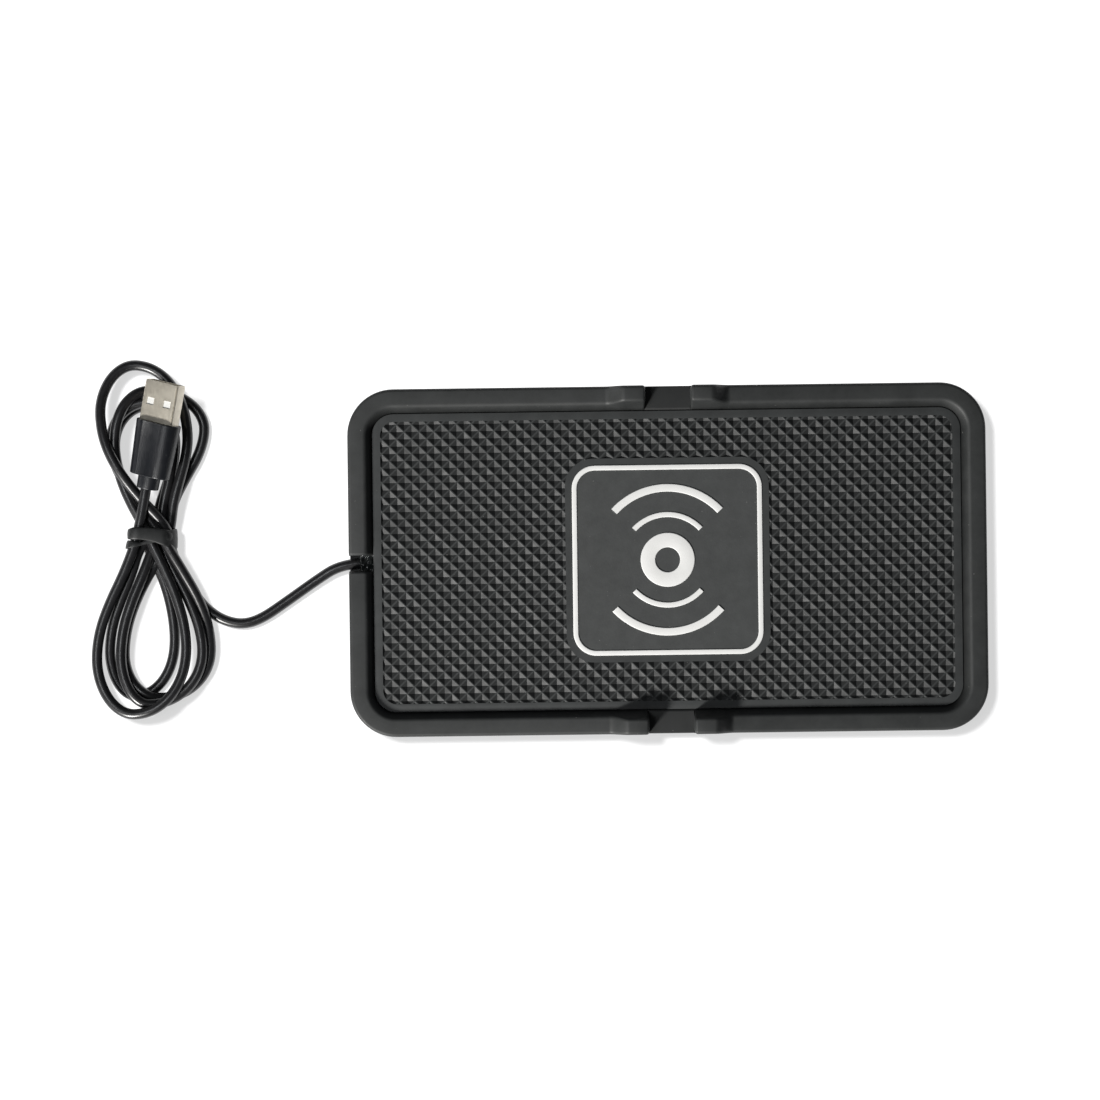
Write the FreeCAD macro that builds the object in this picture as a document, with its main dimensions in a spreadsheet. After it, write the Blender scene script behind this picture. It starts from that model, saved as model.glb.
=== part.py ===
import FreeCAD, Part

"""Wireless charging mat with a captive USB cable.

Millimetres. +X runs along the mat's long side, +Y along its short side, +Z up.
The origin is the centre of the mat's underside. The cable leaves through a notch
in the rim at -X and is folded into a figure-eight hank beside the mat.
"""

import math
import os
import re

import Sketcher
from FreeCAD import Rotation, Vector

doc = FreeCAD.newDocument("charging_mat")

# ---------------------------------------------------------------- driving sizes

SIZES = [
    # silicone tray
    ("mat_length", 200.0, "outside length of the tray"),
    ("mat_width", 109.0, "outside width of the tray"),
    ("mat_corner", 14.5, "plan radius of the tray's corners"),
    ("rim_width", 7.45, "outer edge to the insert"),
    ("rim_top_height", 8.5, "top of the rim"),
    ("rim_slope_width", 1.9, "plan width of the rim's inner slope"),
    ("rim_edge_round", 1.2, "rounding of the rim's outer top edge"),
    ("deck_height", 6.0, "top face of the insert"),
    ("floor_low", 0.6, "underside of the tray's floor, above the grip sheet"),
    ("floor_high", 1.4, "top of the tray's floor"),
    ("well_corner", 7.0, "plan radius of the insert's corners"),
    # phone stops
    ("stop_height", 13.0, "top of the four stops"),
    ("slot_width", 14.2, "gap between two facing stops"),
    ("slot_shift", 0.5, "slots' centre from the mat's centre"),
    ("stop_flat", 6.2, "flat top of a stop"),
    ("stop_ramp", 6.4, "run of the ramp from the stop down to the rim"),
    ("stop_edge_round", 0.6, "rounding of a stop's top edges"),
    # cable notch
    ("notch_width", 4.9, "width of the notch in the rim"),
    # insert and emblem
    ("insert_gap", 0.15, "crevice between the insert and the tray"),
    ("insert_edge_round", 0.3, "rounding of the insert's top edge"),
    ("skin_low", 4.8, "underside of the insert over the charger housing"),
    ("emblem_side", 59.7, "outside of the white square line"),
    ("emblem_corner", 7.25, "corner radius of the white square line"),
    ("emblem_line", 1.57, "width of the white square line"),
    ("emblem_rise", 0.3, "how far the white pieces stand above the deck"),
    ("emblem_sink", 0.4, "how deep the white pieces are set in"),
    ("ring_outer", 8.5, "outer radius of the ring"),
    ("ring_inner", 3.9, "inner radius of the ring"),
    ("short_arc_outer", 15.04, "outer radius of the short arcs"),
    ("short_arc_line", 1.67, "width of the short arcs"),
    ("long_arc_outer", 23.8, "outer radius of the long arcs"),
    ("long_arc_line", 2.42, "width of the long arcs"),
    ("arc_half_angle", 47.4, "half of an arc's sweep, degrees"),
    # grip sheet
    ("sheet_inset", 4.0, "grip sheet's edge from the tray's edge"),
    # charger housing
    ("module_length", 92.0, "outside length of the housing"),
    ("module_width", 60.0, "outside width of the housing"),
    ("module_corner", 4.0, "corner radius of the housing"),
    ("module_centre", -16.0, "housing's centre along the mat"),
    ("module_wall", 2.0, "side walls"),
    ("module_floor", 0.6, "floor and roof of the housing"),
    ("module_split", 3.3, "height of the joint between base and cover"),
    ("boss_radius", 2.3, "screw bosses"),
    ("boss_inset", 4.2, "boss centres from the housing's edges"),
    ("screw_radius", 0.8, "screw shank"),
    ("screw_head_radius", 1.6, "countersunk head"),
    ("screw_head_depth", 0.8, "depth of the countersink"),
    ("housing_fit", 0.2, "how much longer and wider the insert's pocket is than the housing"),
    # coil and electronics
    ("ferrite_side", 46.0, "square ferrite sheet"),
    ("ferrite_thickness", 0.8, "ferrite sheet"),
    ("coil_outer", 22.0, "outside radius of the winding"),
    ("coil_inner", 10.0, "inside radius of the winding"),
    ("coil_turns", 10.0, "turns of the flat winding"),
    ("coil_wire", 1.2, "height of the winding"),
    ("coil_groove", 0.7, "height of the grooves between turns, as a share of the winding's"),
    ("coil_end_length", 10.5, "the winding's ends, from the board to the winding"),
    ("coil_end_offset", 3.5, "the winding's ends from the mat's long axis"),
    ("board_length", 27.0, "circuit board"),
    ("board_width", 46.0, "circuit board"),
    ("board_thickness", 0.8, "circuit board"),
    ("board_centre", -45.5, "board's centre along the mat"),
    ("chip_side", 6.0, "controller chip"),
    ("chip_thickness", 0.9, "controller chip"),
    ("transistor_side", 3.3, "power transistors of the bridge"),
    ("transistor_height", 0.8, "power transistors of the bridge"),
    ("transistor_pitch", 4.6, "spacing of the power transistors"),
    ("capacitor_length", 3.2, "resonance capacitors"),
    ("capacitor_width", 2.5, "resonance capacitors"),
    ("capacitor_height", 1.2, "resonance capacitors"),
    ("capacitor_pitch", 3.6, "spacing of the resonance capacitors"),
    ("inductor_side", 5.2, "filter inductor"),
    ("inductor_height", 1.3, "filter inductor"),
    ("resistor_length", 1.6, "chip resistors"),
    ("resistor_width", 0.8, "chip resistors"),
    ("resistor_height", 0.4, "chip resistors"),
    ("resistor_column", 2.6, "spacing of the chip resistors along the board"),
    ("resistor_line", 1.9, "spacing of the chip resistors across the board"),
    # cable
    ("cord_diameter", 3.3, "jacket"),
    ("cord_exit_height", 3.05, "centre of the cable in the notch"),
    ("channel_gap", 0.3, "how much wider the insert's channel is than the cable"),
    ("sealant_low", 2.1, "underside of the sealant in the notch"),
    ("sealant_setback", 3.2, "sealant's face from the tray's outer edge"),
    ("core_diameter", 1.1, "one insulated core"),
    ("core_spread", 1.5, "the two cores' centres, side by side"),
    ("core_height", 3.4, "centre of the cores over the board"),
    # hank and tie
    ("tie_along", -161.5, "tie's centre, X"),
    ("tie_across", 9.5, "tie's centre, Y"),
    ("tie_width", 5.2, "width of the flat band"),
    ("tie_thickness", 0.9, "band thickness, both wraps"),
    ("waist_width", 14.4, "bundle inside the tie"),
    ("waist_height", 9.6, "bundle inside the tie"),
    ("waist_round", 2.4, "rounding of the bundle inside the tie"),
    ("lobe_height", 7.0, "thickness of the two lobes"),
    ("upper_reach", 35.3, "tie's centre to the far circle of the upper lobe"),
    ("upper_radius", 18.0, "far circle of the upper lobe"),
    ("lower_reach", 36.1, "tie's centre to the far circle of the lower lobe"),
    ("lower_radius", 19.1, "far circle of the lower lobe"),
    # plug
    ("plug_along", -161.6, "plug grip's cable end, X"),
    ("plug_across", 28.2, "plug grip's cable end, Y"),
    ("plug_height", 10.5, "plug grip's cable end, above the table"),
    ("plug_yaw", -11.7, "plug's heading from +Y, degrees"),
    ("plug_rise", 7.7, "plug's shell end above its cable end, degrees"),
    ("plug_roll", -23.7, "plug's roll about its own axis, degrees"),
    ("grip_length", 17.2, "moulded grip"),
    ("grip_width", 14.8, "moulded grip"),
    ("grip_thickness", 7.8, "moulded grip"),
    ("grip_round", 3.8, "rounding of the grip's long sides"),
    ("neck_length", 4.0, "moulded neck behind the grip"),
    ("neck_radius", 3.45, "moulded neck"),
    ("shell_width", 12.0, "USB-A shell"),
    ("shell_thickness", 4.5, "USB-A shell"),
    ("shell_length", 12.6, "visible length of the shell"),
    ("shell_sunk", 3.0, "length of the shell inside the grip"),
    ("shell_wall", 0.3, "sheet thickness"),
    ("window_width", 2.6, "latch windows, across the shell"),
    ("window_length", 2.25, "latch windows, along the shell"),
    ("window_offset", 3.05, "latch windows from the shell's axis"),
    ("window_from_grip", 6.1, "latch windows' centre from the grip"),
    ("tongue_width", 11.0, "plastic tongue"),
    ("tongue_thickness", 1.8, "plastic tongue"),
    ("contact_length", 8.5, "contact strips"),
    ("contact_from_grip", 2.2, "contact strips' inner ends from the grip"),
    ("contact_width", 1.0, "contact strips"),
    ("contact_pitch", 2.2, "contact strips"),
    ("contact_thickness", 0.15, "contact strips"),
]

sheet = doc.addObject("Spreadsheet::Sheet", "Sizes")
for row, (alias, value, note) in enumerate(SIZES, start=1):
    sheet.set("A%d" % row, alias)
    sheet.set("B%d" % row, "%g" % value)
    sheet.set("C%d" % row, note)
    sheet.setAlias("B%d" % row, alias)
doc.recompute()


ALIASES = {alias for alias, value, note in SIZES}


def size(text):
    """The number that an expression in the sizes' names gives."""
    return float(sheet.evalExpression(text))


def cell(text):
    """The same expression as another object has to write it."""
    return re.sub(r"[a-z]\w*", lambda word: qualified(word.group()), text)


def qualified(word):
    """A size's name with the sheet's name in front; any other word as it is."""
    return "Sizes." + word if word in ALIASES else word


# ------------------------------------------------------------- building blocks


def bind(thing, **expressions):
    """Bind an object's properties to expressions in the sizes' names."""
    for name, text in expressions.items():
        thing.setExpression(name, cell(text))


def place(thing, x="0", y="0", z="0"):
    """Bind an object's position."""
    thing.setExpression("Placement.Base.x", cell(x))
    thing.setExpression("Placement.Base.y", cell(y))
    thing.setExpression("Placement.Base.z", cell(z))


def turn_and_place(thing, position, rotation):
    """Bind a whole placement: position is x; y; z and rotation is what rotation() takes."""
    text = "placement(vector(%s); rotation(%s))" % (position, rotation)
    thing.setExpression("Placement", cell(text))


def dimension(sketch, kind, name, text, *where):
    """A driving dimension whose value is an expression."""
    number = sketch.addConstraint(Sketcher.Constraint(kind, *where, size(text)))
    sketch.renameConstraint(number, name)
    sketch.setExpression("Constraints." + name, cell(text))


def draw_rounded_rectangle(sketch, length, width, radius):
    """A constrained rounded rectangle about the sketch's origin: line, arc, line, arc..."""
    r = size(radius)
    reach_x = size(length) / 2 - r
    reach_y = size(width) / 2 - r
    centres = [Vector(x, y, 0) for x, y in
               ((reach_x, -reach_y), (reach_x, reach_y), (-reach_x, reach_y), (-reach_x, -reach_y))]
    for index, centre in enumerate(centres):
        outward = Rotation(Vector(0, 0, 1), 90 * index).multVec(Vector(0, -r, 0))
        sketch.addGeometry(Part.LineSegment(centres[index - 1] + outward, centre + outward), False)
        begin = math.radians(90 * index - 90)
        circle = Part.Circle(centre, Vector(0, 0, 1), r)
        sketch.addGeometry(Part.ArcOfCircle(circle, begin, begin + math.pi / 2), False)
    for index in range(8):
        sketch.addConstraint(Sketcher.Constraint("Tangent", index, 2, (index + 1) % 8, 1))
    for index in (0, 4):
        sketch.addConstraint(Sketcher.Constraint("Horizontal", index))
        sketch.addConstraint(Sketcher.Constraint("Vertical", index + 2))
    for index in (3, 5, 7):
        sketch.addConstraint(Sketcher.Constraint("Equal", 1, index))
    sketch.addConstraint(Sketcher.Constraint("Symmetric", 1, 3, 5, 3, -1, 1))
    dimension(sketch, "DistanceX", "length_x", length, 6, 1, 2, 1)
    dimension(sketch, "DistanceY", "width_y", width, 0, 1, 4, 1)
    dimension(sketch, "Radius", "corner", radius, 1)


def draw_polygon(sketch, corners):
    """A closed polygon whose corners are pairs of expressions."""
    points = [Vector(size(x), size(y), 0) for x, y in corners]
    first = sketch.GeometryCount
    for index, point in enumerate(points):
        following = points[(index + 1) % len(points)]
        sketch.addGeometry(Part.LineSegment(point, following), False)
    for index, (x, y) in enumerate(corners):
        line = first + index
        following = first + (index + 1) % len(points)
        sketch.addConstraint(Sketcher.Constraint("Coincident", line, 2, following, 1))
        dimension(sketch, "DistanceX", "x%d" % line, x, -1, 1, line, 1)
        dimension(sketch, "DistanceY", "y%d" % line, y, -1, 1, line, 1)


def draw_teardrop(sketch, waist, reach, radius):
    """A round end at (0, reach) drawn in along two tangents to a flat waist at the origin."""
    half = size(waist) / 2
    centre = Vector(0, size(reach), 0)
    r = size(radius)
    lean = math.acos(r / math.hypot(half, centre.y))
    begin = math.atan2(-centre.y, half) + lean
    end = math.pi - begin
    arc = Part.ArcOfCircle(Part.Circle(centre, Vector(0, 0, 1), r), begin, end)
    corners = (Vector(-half, 0, 0), Vector(half, 0, 0))
    sketch.addGeometry(Part.LineSegment(*corners), False)
    sketch.addGeometry(Part.LineSegment(corners[1], arc.StartPoint), False)
    sketch.addGeometry(arc, False)
    sketch.addGeometry(Part.LineSegment(arc.EndPoint, corners[0]), False)
    sketch.addConstraint(Sketcher.Constraint("Coincident", 0, 2, 1, 1))
    sketch.addConstraint(Sketcher.Constraint("Tangent", 1, 2, 2, 1))
    sketch.addConstraint(Sketcher.Constraint("Tangent", 2, 2, 3, 1))
    sketch.addConstraint(Sketcher.Constraint("Coincident", 3, 2, 0, 1))
    sketch.addConstraint(Sketcher.Constraint("Symmetric", 0, 1, 0, 2, -1, 1))
    sketch.addConstraint(Sketcher.Constraint("Horizontal", 0))
    sketch.addConstraint(Sketcher.Constraint("PointOnObject", 2, 3, -2))
    dimension(sketch, "DistanceX", "waist", waist, 0, 1, 0, 2)
    dimension(sketch, "DistanceY", "reach", reach, -1, 1, 2, 3)
    dimension(sketch, "Radius", "round_end", radius, 2)


def extrude(name, sketch, height):
    """A solid from a closed sketch, along its own normal."""
    solid = doc.addObject("Part::Extrusion", name)
    solid.Base = sketch
    solid.DirMode = "Normal"
    solid.Solid = True
    bind(solid, LengthFwd=height)
    return solid


def slab(name, length, width, radius, low, height, x="0", y="0"):
    """A flat plate with rounded corners, from the height `low` upwards."""
    sketch = doc.addObject("Sketcher::SketchObject", name + "_outline")
    draw_rounded_rectangle(sketch, length, width, radius)
    place(sketch, x, y, low)
    return extrude(name, sketch, height)


def box(name, length, width, height, x="0", y="0", z="0"):
    """A box centred on (x, y), standing on z."""
    solid = doc.addObject("Part::Box", name)
    bind(solid, Length=length, Width=width, Height=height)
    place(solid, "%s - (%s) / 2" % (x, length), "%s - (%s) / 2" % (y, width), z)
    return solid


def cylinder(name, radius, height, x="0", y="0", z="0"):
    """An upright cylinder."""
    solid = doc.addObject("Part::Cylinder", name)
    bind(solid, Radius=radius, Height=height)
    place(solid, x, y, z)
    return solid


def lying_cylinder(name, radius, length, x="0", y="0", z="0"):
    """A cylinder along +X from (x, y, z)."""
    solid = doc.addObject("Part::Cylinder", name)
    bind(solid, Radius=radius, Height=length)
    turn_and_place(solid, "%s; %s; %s" % (x, y, z), "vector(0; 1; 0); 90")
    return solid


def fuse(name, *solids):
    """One solid from several that touch or overlap."""
    joined = doc.addObject("Part::MultiFuse", name)
    joined.Shapes = solids
    return joined


def group(name, solids):
    """Several separate solids kept as one sub-part."""
    together = doc.addObject("Part::Compound", name)
    together.Links = solids
    return together


def cut(name, base, *tools):
    """Base minus every tool."""
    for number, tool in enumerate(tools, start=1):
        step = doc.addObject("Part::Cut", name if number == len(tools) else name + "_step")
        step.Base = base
        step.Tool = tool
        base = step
    return base


def round_edges(name, base, radius, chosen):
    """Fillet the edges for which chosen(edge) is true."""
    doc.recompute()
    rounded = doc.addObject("Part::Fillet", name)
    rounded.Base = base
    r = size(radius)
    rounded.Edges = [(number, r, r) for number, edge in enumerate(base.Shape.Edges, start=1)
                     if chosen(edge)]
    return rounded


def runs_along(axis):
    """Chooses straight edges parallel to an axis."""
    return lambda edge: edge.Curve.TypeId == "Part::GeomLine" and \
        abs(edge.tangentAt(edge.FirstParameter).dot(axis)) > 0.999


def lies_at(*heights):
    """Chooses edges that lie flat at one of the heights."""
    return lambda edge: any(abs(edge.BoundBox.ZMin - height) < 1e-4 and
                            abs(edge.BoundBox.ZMax - height) < 1e-4 for height in heights)


pieces = {}


def piece(solid, label):
    """Register a finished sub-part under the name of its node."""
    solid.Label = label
    pieces[label] = solid
    return solid


# ------------------------------------------------------------------ silicone tray


def origin_plane(body, role):
    """One of a body's own three origin planes."""
    return next(plane for plane in body.Origin.OriginFeatures if plane.Role == role)


def body_sketch(body, name, role="XY_Plane", offset="0"):
    """A sketch on one of the body's origin planes, moved along the plane's normal."""
    sketch = body.newObject("Sketcher::SketchObject", name)
    sketch.AttachmentSupport = [(origin_plane(body, role), "")]
    sketch.MapMode = "FlatFace"
    sketch.setExpression("AttachmentOffset.Base.z", cell(offset))
    return sketch


def pad(body, name, sketch, length, both_ways=False):
    """Add material on a sketch."""
    feature = body.newObject("PartDesign::Pad", name)
    feature.Profile = sketch
    feature.Midplane = both_ways
    bind(feature, Length=length)
    return feature


def pocket(body, name, sketch, length, both_ways=False, upwards=False):
    """Take material away, downwards from a sketch unless told otherwise."""
    feature = body.newObject("PartDesign::Pocket", name)
    feature.Profile = sketch
    feature.Midplane = both_ways
    feature.Reversed = upwards
    bind(feature, Length=length)
    return feature


def draw_stop(sketch, side):
    """The side view of one stop: an upright wall, a flat top and an S-shaped ramp.

    side is + for the stop on the +X side of the slot and - for the other.
    """
    sign = 1 if side == "+" else -1
    wall = "slot_shift %s slot_width / 2" % side
    top_end = "%s %s stop_flat" % (wall, side)
    foot = "%s %s stop_ramp" % (top_end, side)
    run = size("stop_ramp")
    rise = size("stop_height - rim_top_height")
    radius = (run ** 2 + rise ** 2) / (4 * rise)
    half_turn = 2 * math.atan2(rise, run)
    crest = Vector(size(top_end), size("stop_height") - radius, 0)
    hollow = Vector(size(foot), size("rim_top_height") + radius, 0)
    up = Vector(0, 0, 1)
    if sign > 0:
        crest_arc = (math.pi / 2 - half_turn, math.pi / 2)
        hollow_arc = (-math.pi / 2 - half_turn, -math.pi / 2)
    else:
        crest_arc = (math.pi / 2, math.pi / 2 + half_turn)
        hollow_arc = (-math.pi / 2, -math.pi / 2 + half_turn)
    deck = size("deck_height")
    corners = {
        "wall_foot": Vector(size(wall), deck, 0),
        "wall_head": Vector(size(wall), size("stop_height"), 0),
        "top_end": Vector(size(top_end), size("stop_height"), 0),
        "ramp_foot": Vector(size(foot), size("rim_top_height"), 0),
        "deck_end": Vector(size(foot), deck, 0),
    }
    first = sketch.GeometryCount
    sketch.addGeometry(Part.LineSegment(corners["wall_foot"], corners["wall_head"]), False)
    sketch.addGeometry(Part.LineSegment(corners["wall_head"], corners["top_end"]), False)
    sketch.addGeometry(Part.ArcOfCircle(Part.Circle(crest, up, radius), *crest_arc), False)
    sketch.addGeometry(Part.ArcOfCircle(Part.Circle(hollow, up, radius), *hollow_arc), False)
    sketch.addGeometry(Part.LineSegment(corners["ramp_foot"], corners["deck_end"]), False)
    sketch.addGeometry(Part.LineSegment(corners["deck_end"], corners["wall_foot"]), False)
    upright, flat, crest_id, hollow_id, drop, base = range(first, first + 6)
    # an arc's first point is the one at its smaller angle
    crest_top, crest_foot = (2, 1) if sign > 0 else (1, 2)
    hollow_foot, hollow_top = (2, 1) if sign > 0 else (1, 2)
    add = sketch.addConstraint
    add(Sketcher.Constraint("Coincident", upright, 2, flat, 1))
    add(Sketcher.Constraint("Tangent", flat, 2, crest_id, crest_top))
    add(Sketcher.Constraint("Tangent", crest_id, crest_foot, hollow_id, hollow_top))
    add(Sketcher.Constraint("Coincident", hollow_id, hollow_foot, drop, 1))
    add(Sketcher.Constraint("Coincident", drop, 2, base, 1))
    add(Sketcher.Constraint("Coincident", base, 2, upright, 1))
    add(Sketcher.Constraint("Vertical", upright))
    add(Sketcher.Constraint("Horizontal", flat))
    add(Sketcher.Constraint("Vertical", drop))
    add(Sketcher.Constraint("Horizontal", base))
    add(Sketcher.Constraint("Equal", crest_id, hollow_id))
    add(Sketcher.Constraint("Vertical", hollow_id, 3, hollow_id, hollow_foot))
    tag = "plus" if sign > 0 else "minus"
    dimension(sketch, "DistanceX", "wall_" + tag, wall, -1, 1, upright, 1)
    dimension(sketch, "DistanceY", "deck_" + tag, "deck_height", -1, 1, upright, 1)
    dimension(sketch, "DistanceY", "top_" + tag, "stop_height", -1, 1, upright, 2)
    dimension(sketch, "DistanceX", "top_end_" + tag, top_end, -1, 1, flat, 2)
    dimension(sketch, "DistanceX", "foot_" + tag, foot, -1, 1, drop, 1)
    dimension(sketch, "DistanceY", "rim_" + tag, "rim_top_height", -1, 1, drop, 1)


WELL_LENGTH = "mat_length - 2 * rim_width"
WELL_WIDTH = "mat_width - 2 * rim_width"
MOUTH_LENGTH = WELL_LENGTH + " + 2 * rim_slope_width"
MOUTH_WIDTH = WELL_WIDTH + " + 2 * rim_slope_width"
MOUTH_CORNER = "well_corner + rim_slope_width"


def make_tray():
    """Floor, rim, four ramped stops, the well for the insert and the cable notch."""
    body = doc.addObject("PartDesign::Body", "tray")
    outline = body_sketch(body, "tray_outline")
    draw_rounded_rectangle(outline, "mat_length", "mat_width", "mat_corner")
    block = pad(body, "tray_block", outline, "rim_top_height")
    doc.recompute()
    at_top = lies_at(size("rim_top_height"))
    rim_edges = ["Edge%d" % number for number, edge in enumerate(block.Shape.Edges, start=1)
                 if at_top(edge)]
    rounding = body.newObject("PartDesign::Fillet", "rim_rounding")
    rounding.Base = (block, rim_edges)
    bind(rounding, Radius="rim_edge_round")

    side_view = body_sketch(body, "stop_profile", "XZ_Plane")
    draw_stop(side_view, "+")
    draw_stop(side_view, "-")
    pad(body, "stops", side_view, "mat_width", both_ways=True)

    slot_view = body_sketch(body, "slot_profile", "XZ_Plane")
    low_x = "slot_shift - slot_width / 2"
    high_x = "slot_shift + slot_width / 2"
    draw_polygon(slot_view, [(low_x, "deck_height"), (high_x, "deck_height"),
                             (high_x, "stop_height"), (low_x, "stop_height")])
    pocket(body, "slots", slot_view, "mat_width", both_ways=True)

    well = body_sketch(body, "well_outline", offset="deck_height")
    draw_rounded_rectangle(well, WELL_LENGTH, WELL_WIDTH, "well_corner")
    pocket(body, "well", well, "deck_height - floor_high")

    lower = body_sketch(body, "slope_foot", offset="deck_height")
    draw_rounded_rectangle(lower, WELL_LENGTH, WELL_WIDTH, "well_corner")
    upper = body_sketch(body, "slope_head", offset="rim_top_height")
    draw_rounded_rectangle(upper, MOUTH_LENGTH, MOUTH_WIDTH, MOUTH_CORNER)
    slope = body.newObject("PartDesign::SubtractiveLoft", "rim_slope")
    slope.Profile = lower
    slope.Sections = [upper]

    mouth = body_sketch(body, "mouth_outline", offset="stop_height")
    draw_rounded_rectangle(mouth, MOUTH_LENGTH, MOUTH_WIDTH, MOUTH_CORNER)
    pocket(body, "mouth", mouth, "stop_height - rim_top_height")

    notch = body_sketch(body, "notch_outline", offset="rim_top_height")
    outer_x = "-mat_length / 2 - 1"
    inner_x = "-mat_length / 2 + rim_width + 1"
    draw_polygon(notch, [(outer_x, "-notch_width / 2"), (inner_x, "-notch_width / 2"),
                         (inner_x, "notch_width / 2"), (outer_x, "notch_width / 2")])
    pocket(body, "notch", notch, "rim_top_height - floor_high")

    under = body_sketch(body, "sheet_recess_outline")
    draw_rounded_rectangle(under, "mat_length - 2 * sheet_inset", "mat_width - 2 * sheet_inset",
                           "mat_corner - sheet_inset")
    last = pocket(body, "sheet_recess", under, "floor_low", upwards=True)
    doc.recompute()

    crown = lies_at(size("stop_height"))
    across = runs_along(Vector(0, 1, 0))
    reach = size("slot_width / 2 + abs(slot_shift) + 1")
    crown_edges = ["Edge%d" % number for number, edge in enumerate(last.Shape.Edges, start=1)
                   if crown(edge) and across(edge) and abs(edge.BoundBox.XMin) < reach]
    softened = body.newObject("PartDesign::Fillet", "stop_rounding")
    softened.Base = (last, crown_edges)
    bind(softened, Radius="stop_edge_round")
    body.Tip = softened
    piece(body, "mat_tray")


def make_grip_sheet():
    """The tacky sheet under the tray, flush with its underside."""
    piece(slab("grip", "mat_length - 2 * sheet_inset", "mat_width - 2 * sheet_inset",
               "mat_corner - sheet_inset", "0", "floor_low"), "grip_sheet")


# --------------------------------------------------------------- insert and emblem

INSERT_LENGTH = WELL_LENGTH + " - 2 * insert_gap"
INSERT_WIDTH = WELL_WIDTH + " - 2 * insert_gap"


def make_insert():
    """The top sheet: a pocket below for the housing, a window for the emblem, a cable channel."""
    blank = slab("insert_blank", INSERT_LENGTH, INSERT_WIDTH, "well_corner - insert_gap",
                 "floor_high", "deck_height - floor_high")
    blank = round_edges("insert_rounded", blank, "insert_edge_round", lies_at(size("deck_height")))
    housing = slab("insert_pocket", "module_length + housing_fit", "module_width + housing_fit",
                   "module_corner", "floor_high", "skin_low - floor_high", x="module_centre")
    window = slab("insert_window", "emblem_side", "emblem_side", "emblem_corner",
                  "skin_low", "deck_height - skin_low")
    channel = box("insert_channel", "mat_length / 2 + module_centre - module_length / 2",
                  "cord_diameter + channel_gap", "skin_low - floor_high",
                  x="-(mat_length / 2 - module_centre + module_length / 2) / 2", z="floor_high")
    piece(cut("insert", blank, housing, window, channel), "pad_insert")


def arc_band(name, outer, line, low, height, heading):
    """A flat piece of a ring, centred on a heading in degrees."""
    sector = doc.addObject("Part::Cylinder", name + "_sector")
    bind(sector, Radius=outer, Height=height, Angle="2 * arc_half_angle")
    turn_and_place(sector, "0; 0; " + low, "vector(0; 0; 1); %s - arc_half_angle" % heading)
    core = cylinder(name + "_core", "%s - %s" % (outer, line), height, z=low)
    return cut(name, sector, core)


def ring(name, outer, inner, low, height):
    """A flat ring about the mat's centre."""
    return cut(name, cylinder(name + "_disc", outer, height, z=low),
               cylinder(name + "_hole", inner, height, z=low))


def make_emblem():
    """Square line, ring and two pairs of arcs, set into a smooth plate over the coil."""
    inner_side = "emblem_side - 2 * emblem_line"
    inner_corner = "emblem_corner - emblem_line"
    plate_height = "deck_height - skin_low"
    line = slab("frame_outer", "emblem_side", "emblem_side", "emblem_corner", "skin_low",
                plate_height + " + emblem_rise")
    hole = slab("frame_inner", inner_side, inner_side, inner_corner, "skin_low",
                plate_height + " + emblem_rise")
    piece(cut("frame", line, hole), "emblem_frame")

    low = "deck_height - emblem_sink"
    height = "emblem_sink + emblem_rise"
    marks = {
        "emblem_ring": ring("mark_ring", "ring_outer", "ring_inner", low, height),
        "emblem_inner_arcs": group("mark_short_arcs", [
            arc_band("short_arc_" + tag, "short_arc_outer", "short_arc_line", low, height, heading)
            for tag, heading in (("up", 90), ("down", 270))]),
        "emblem_outer_arcs": group("mark_long_arcs", [
            arc_band("long_arc_" + tag, "long_arc_outer", "long_arc_line", low, height, heading)
            for tag, heading in (("up", 90), ("down", 270))]),
    }
    for label, solid in marks.items():
        piece(solid, label)
    blank = slab("plate_blank", inner_side, inner_side, inner_corner, "skin_low", plate_height)
    piece(cut("plate", blank, *marks.values()), "emblem_plate")


# ---------------------------------------------------------------- charger housing

ROOM_LOW = "floor_high + module_floor"
ROOM_HIGH = "skin_low - module_floor"
HOUSING_END = "module_centre - module_length / 2"


def corner_spots():
    """The four screw positions, as expressions."""
    for side_x in "-+":
        for side_y in "-+":
            x = "module_centre %s (module_length / 2 - boss_inset)" % side_x
            y = "0 %s (module_width / 2 - boss_inset)" % side_y
            yield x, y


def room(name, low, high):
    """The hollow of a housing half, leaving a boss in each corner."""
    hollow = slab(name + "_hollow", "module_length - 2 * module_wall",
                  "module_width - 2 * module_wall", "module_corner - module_wall",
                  low, "%s - (%s)" % (high, low), x="module_centre")
    bosses = [cylinder("%s_boss%d" % (name, number), "boss_radius", "%s - (%s)" % (high, low), x, y, low)
              for number, (x, y) in enumerate(corner_spots())]
    return cut(name, hollow, *bosses)


def make_screws():
    """Four countersunk screws, driven from the top."""
    solids = []
    for number, (x, y) in enumerate(corner_spots()):
        shank = cylinder("screw_shank%d" % number, "screw_radius",
                         "skin_low - floor_high - module_floor", x, y, ROOM_LOW)
        head = doc.addObject("Part::Cone", "screw_head%d" % number)
        bind(head, Radius1="screw_radius", Radius2="screw_head_radius", Height="screw_head_depth")
        place(head, x, y, "skin_low - screw_head_depth")
        solids.append(fuse("screw%d" % number, shank, head))
    return piece(group("screws", solids), "module_screws")


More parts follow.
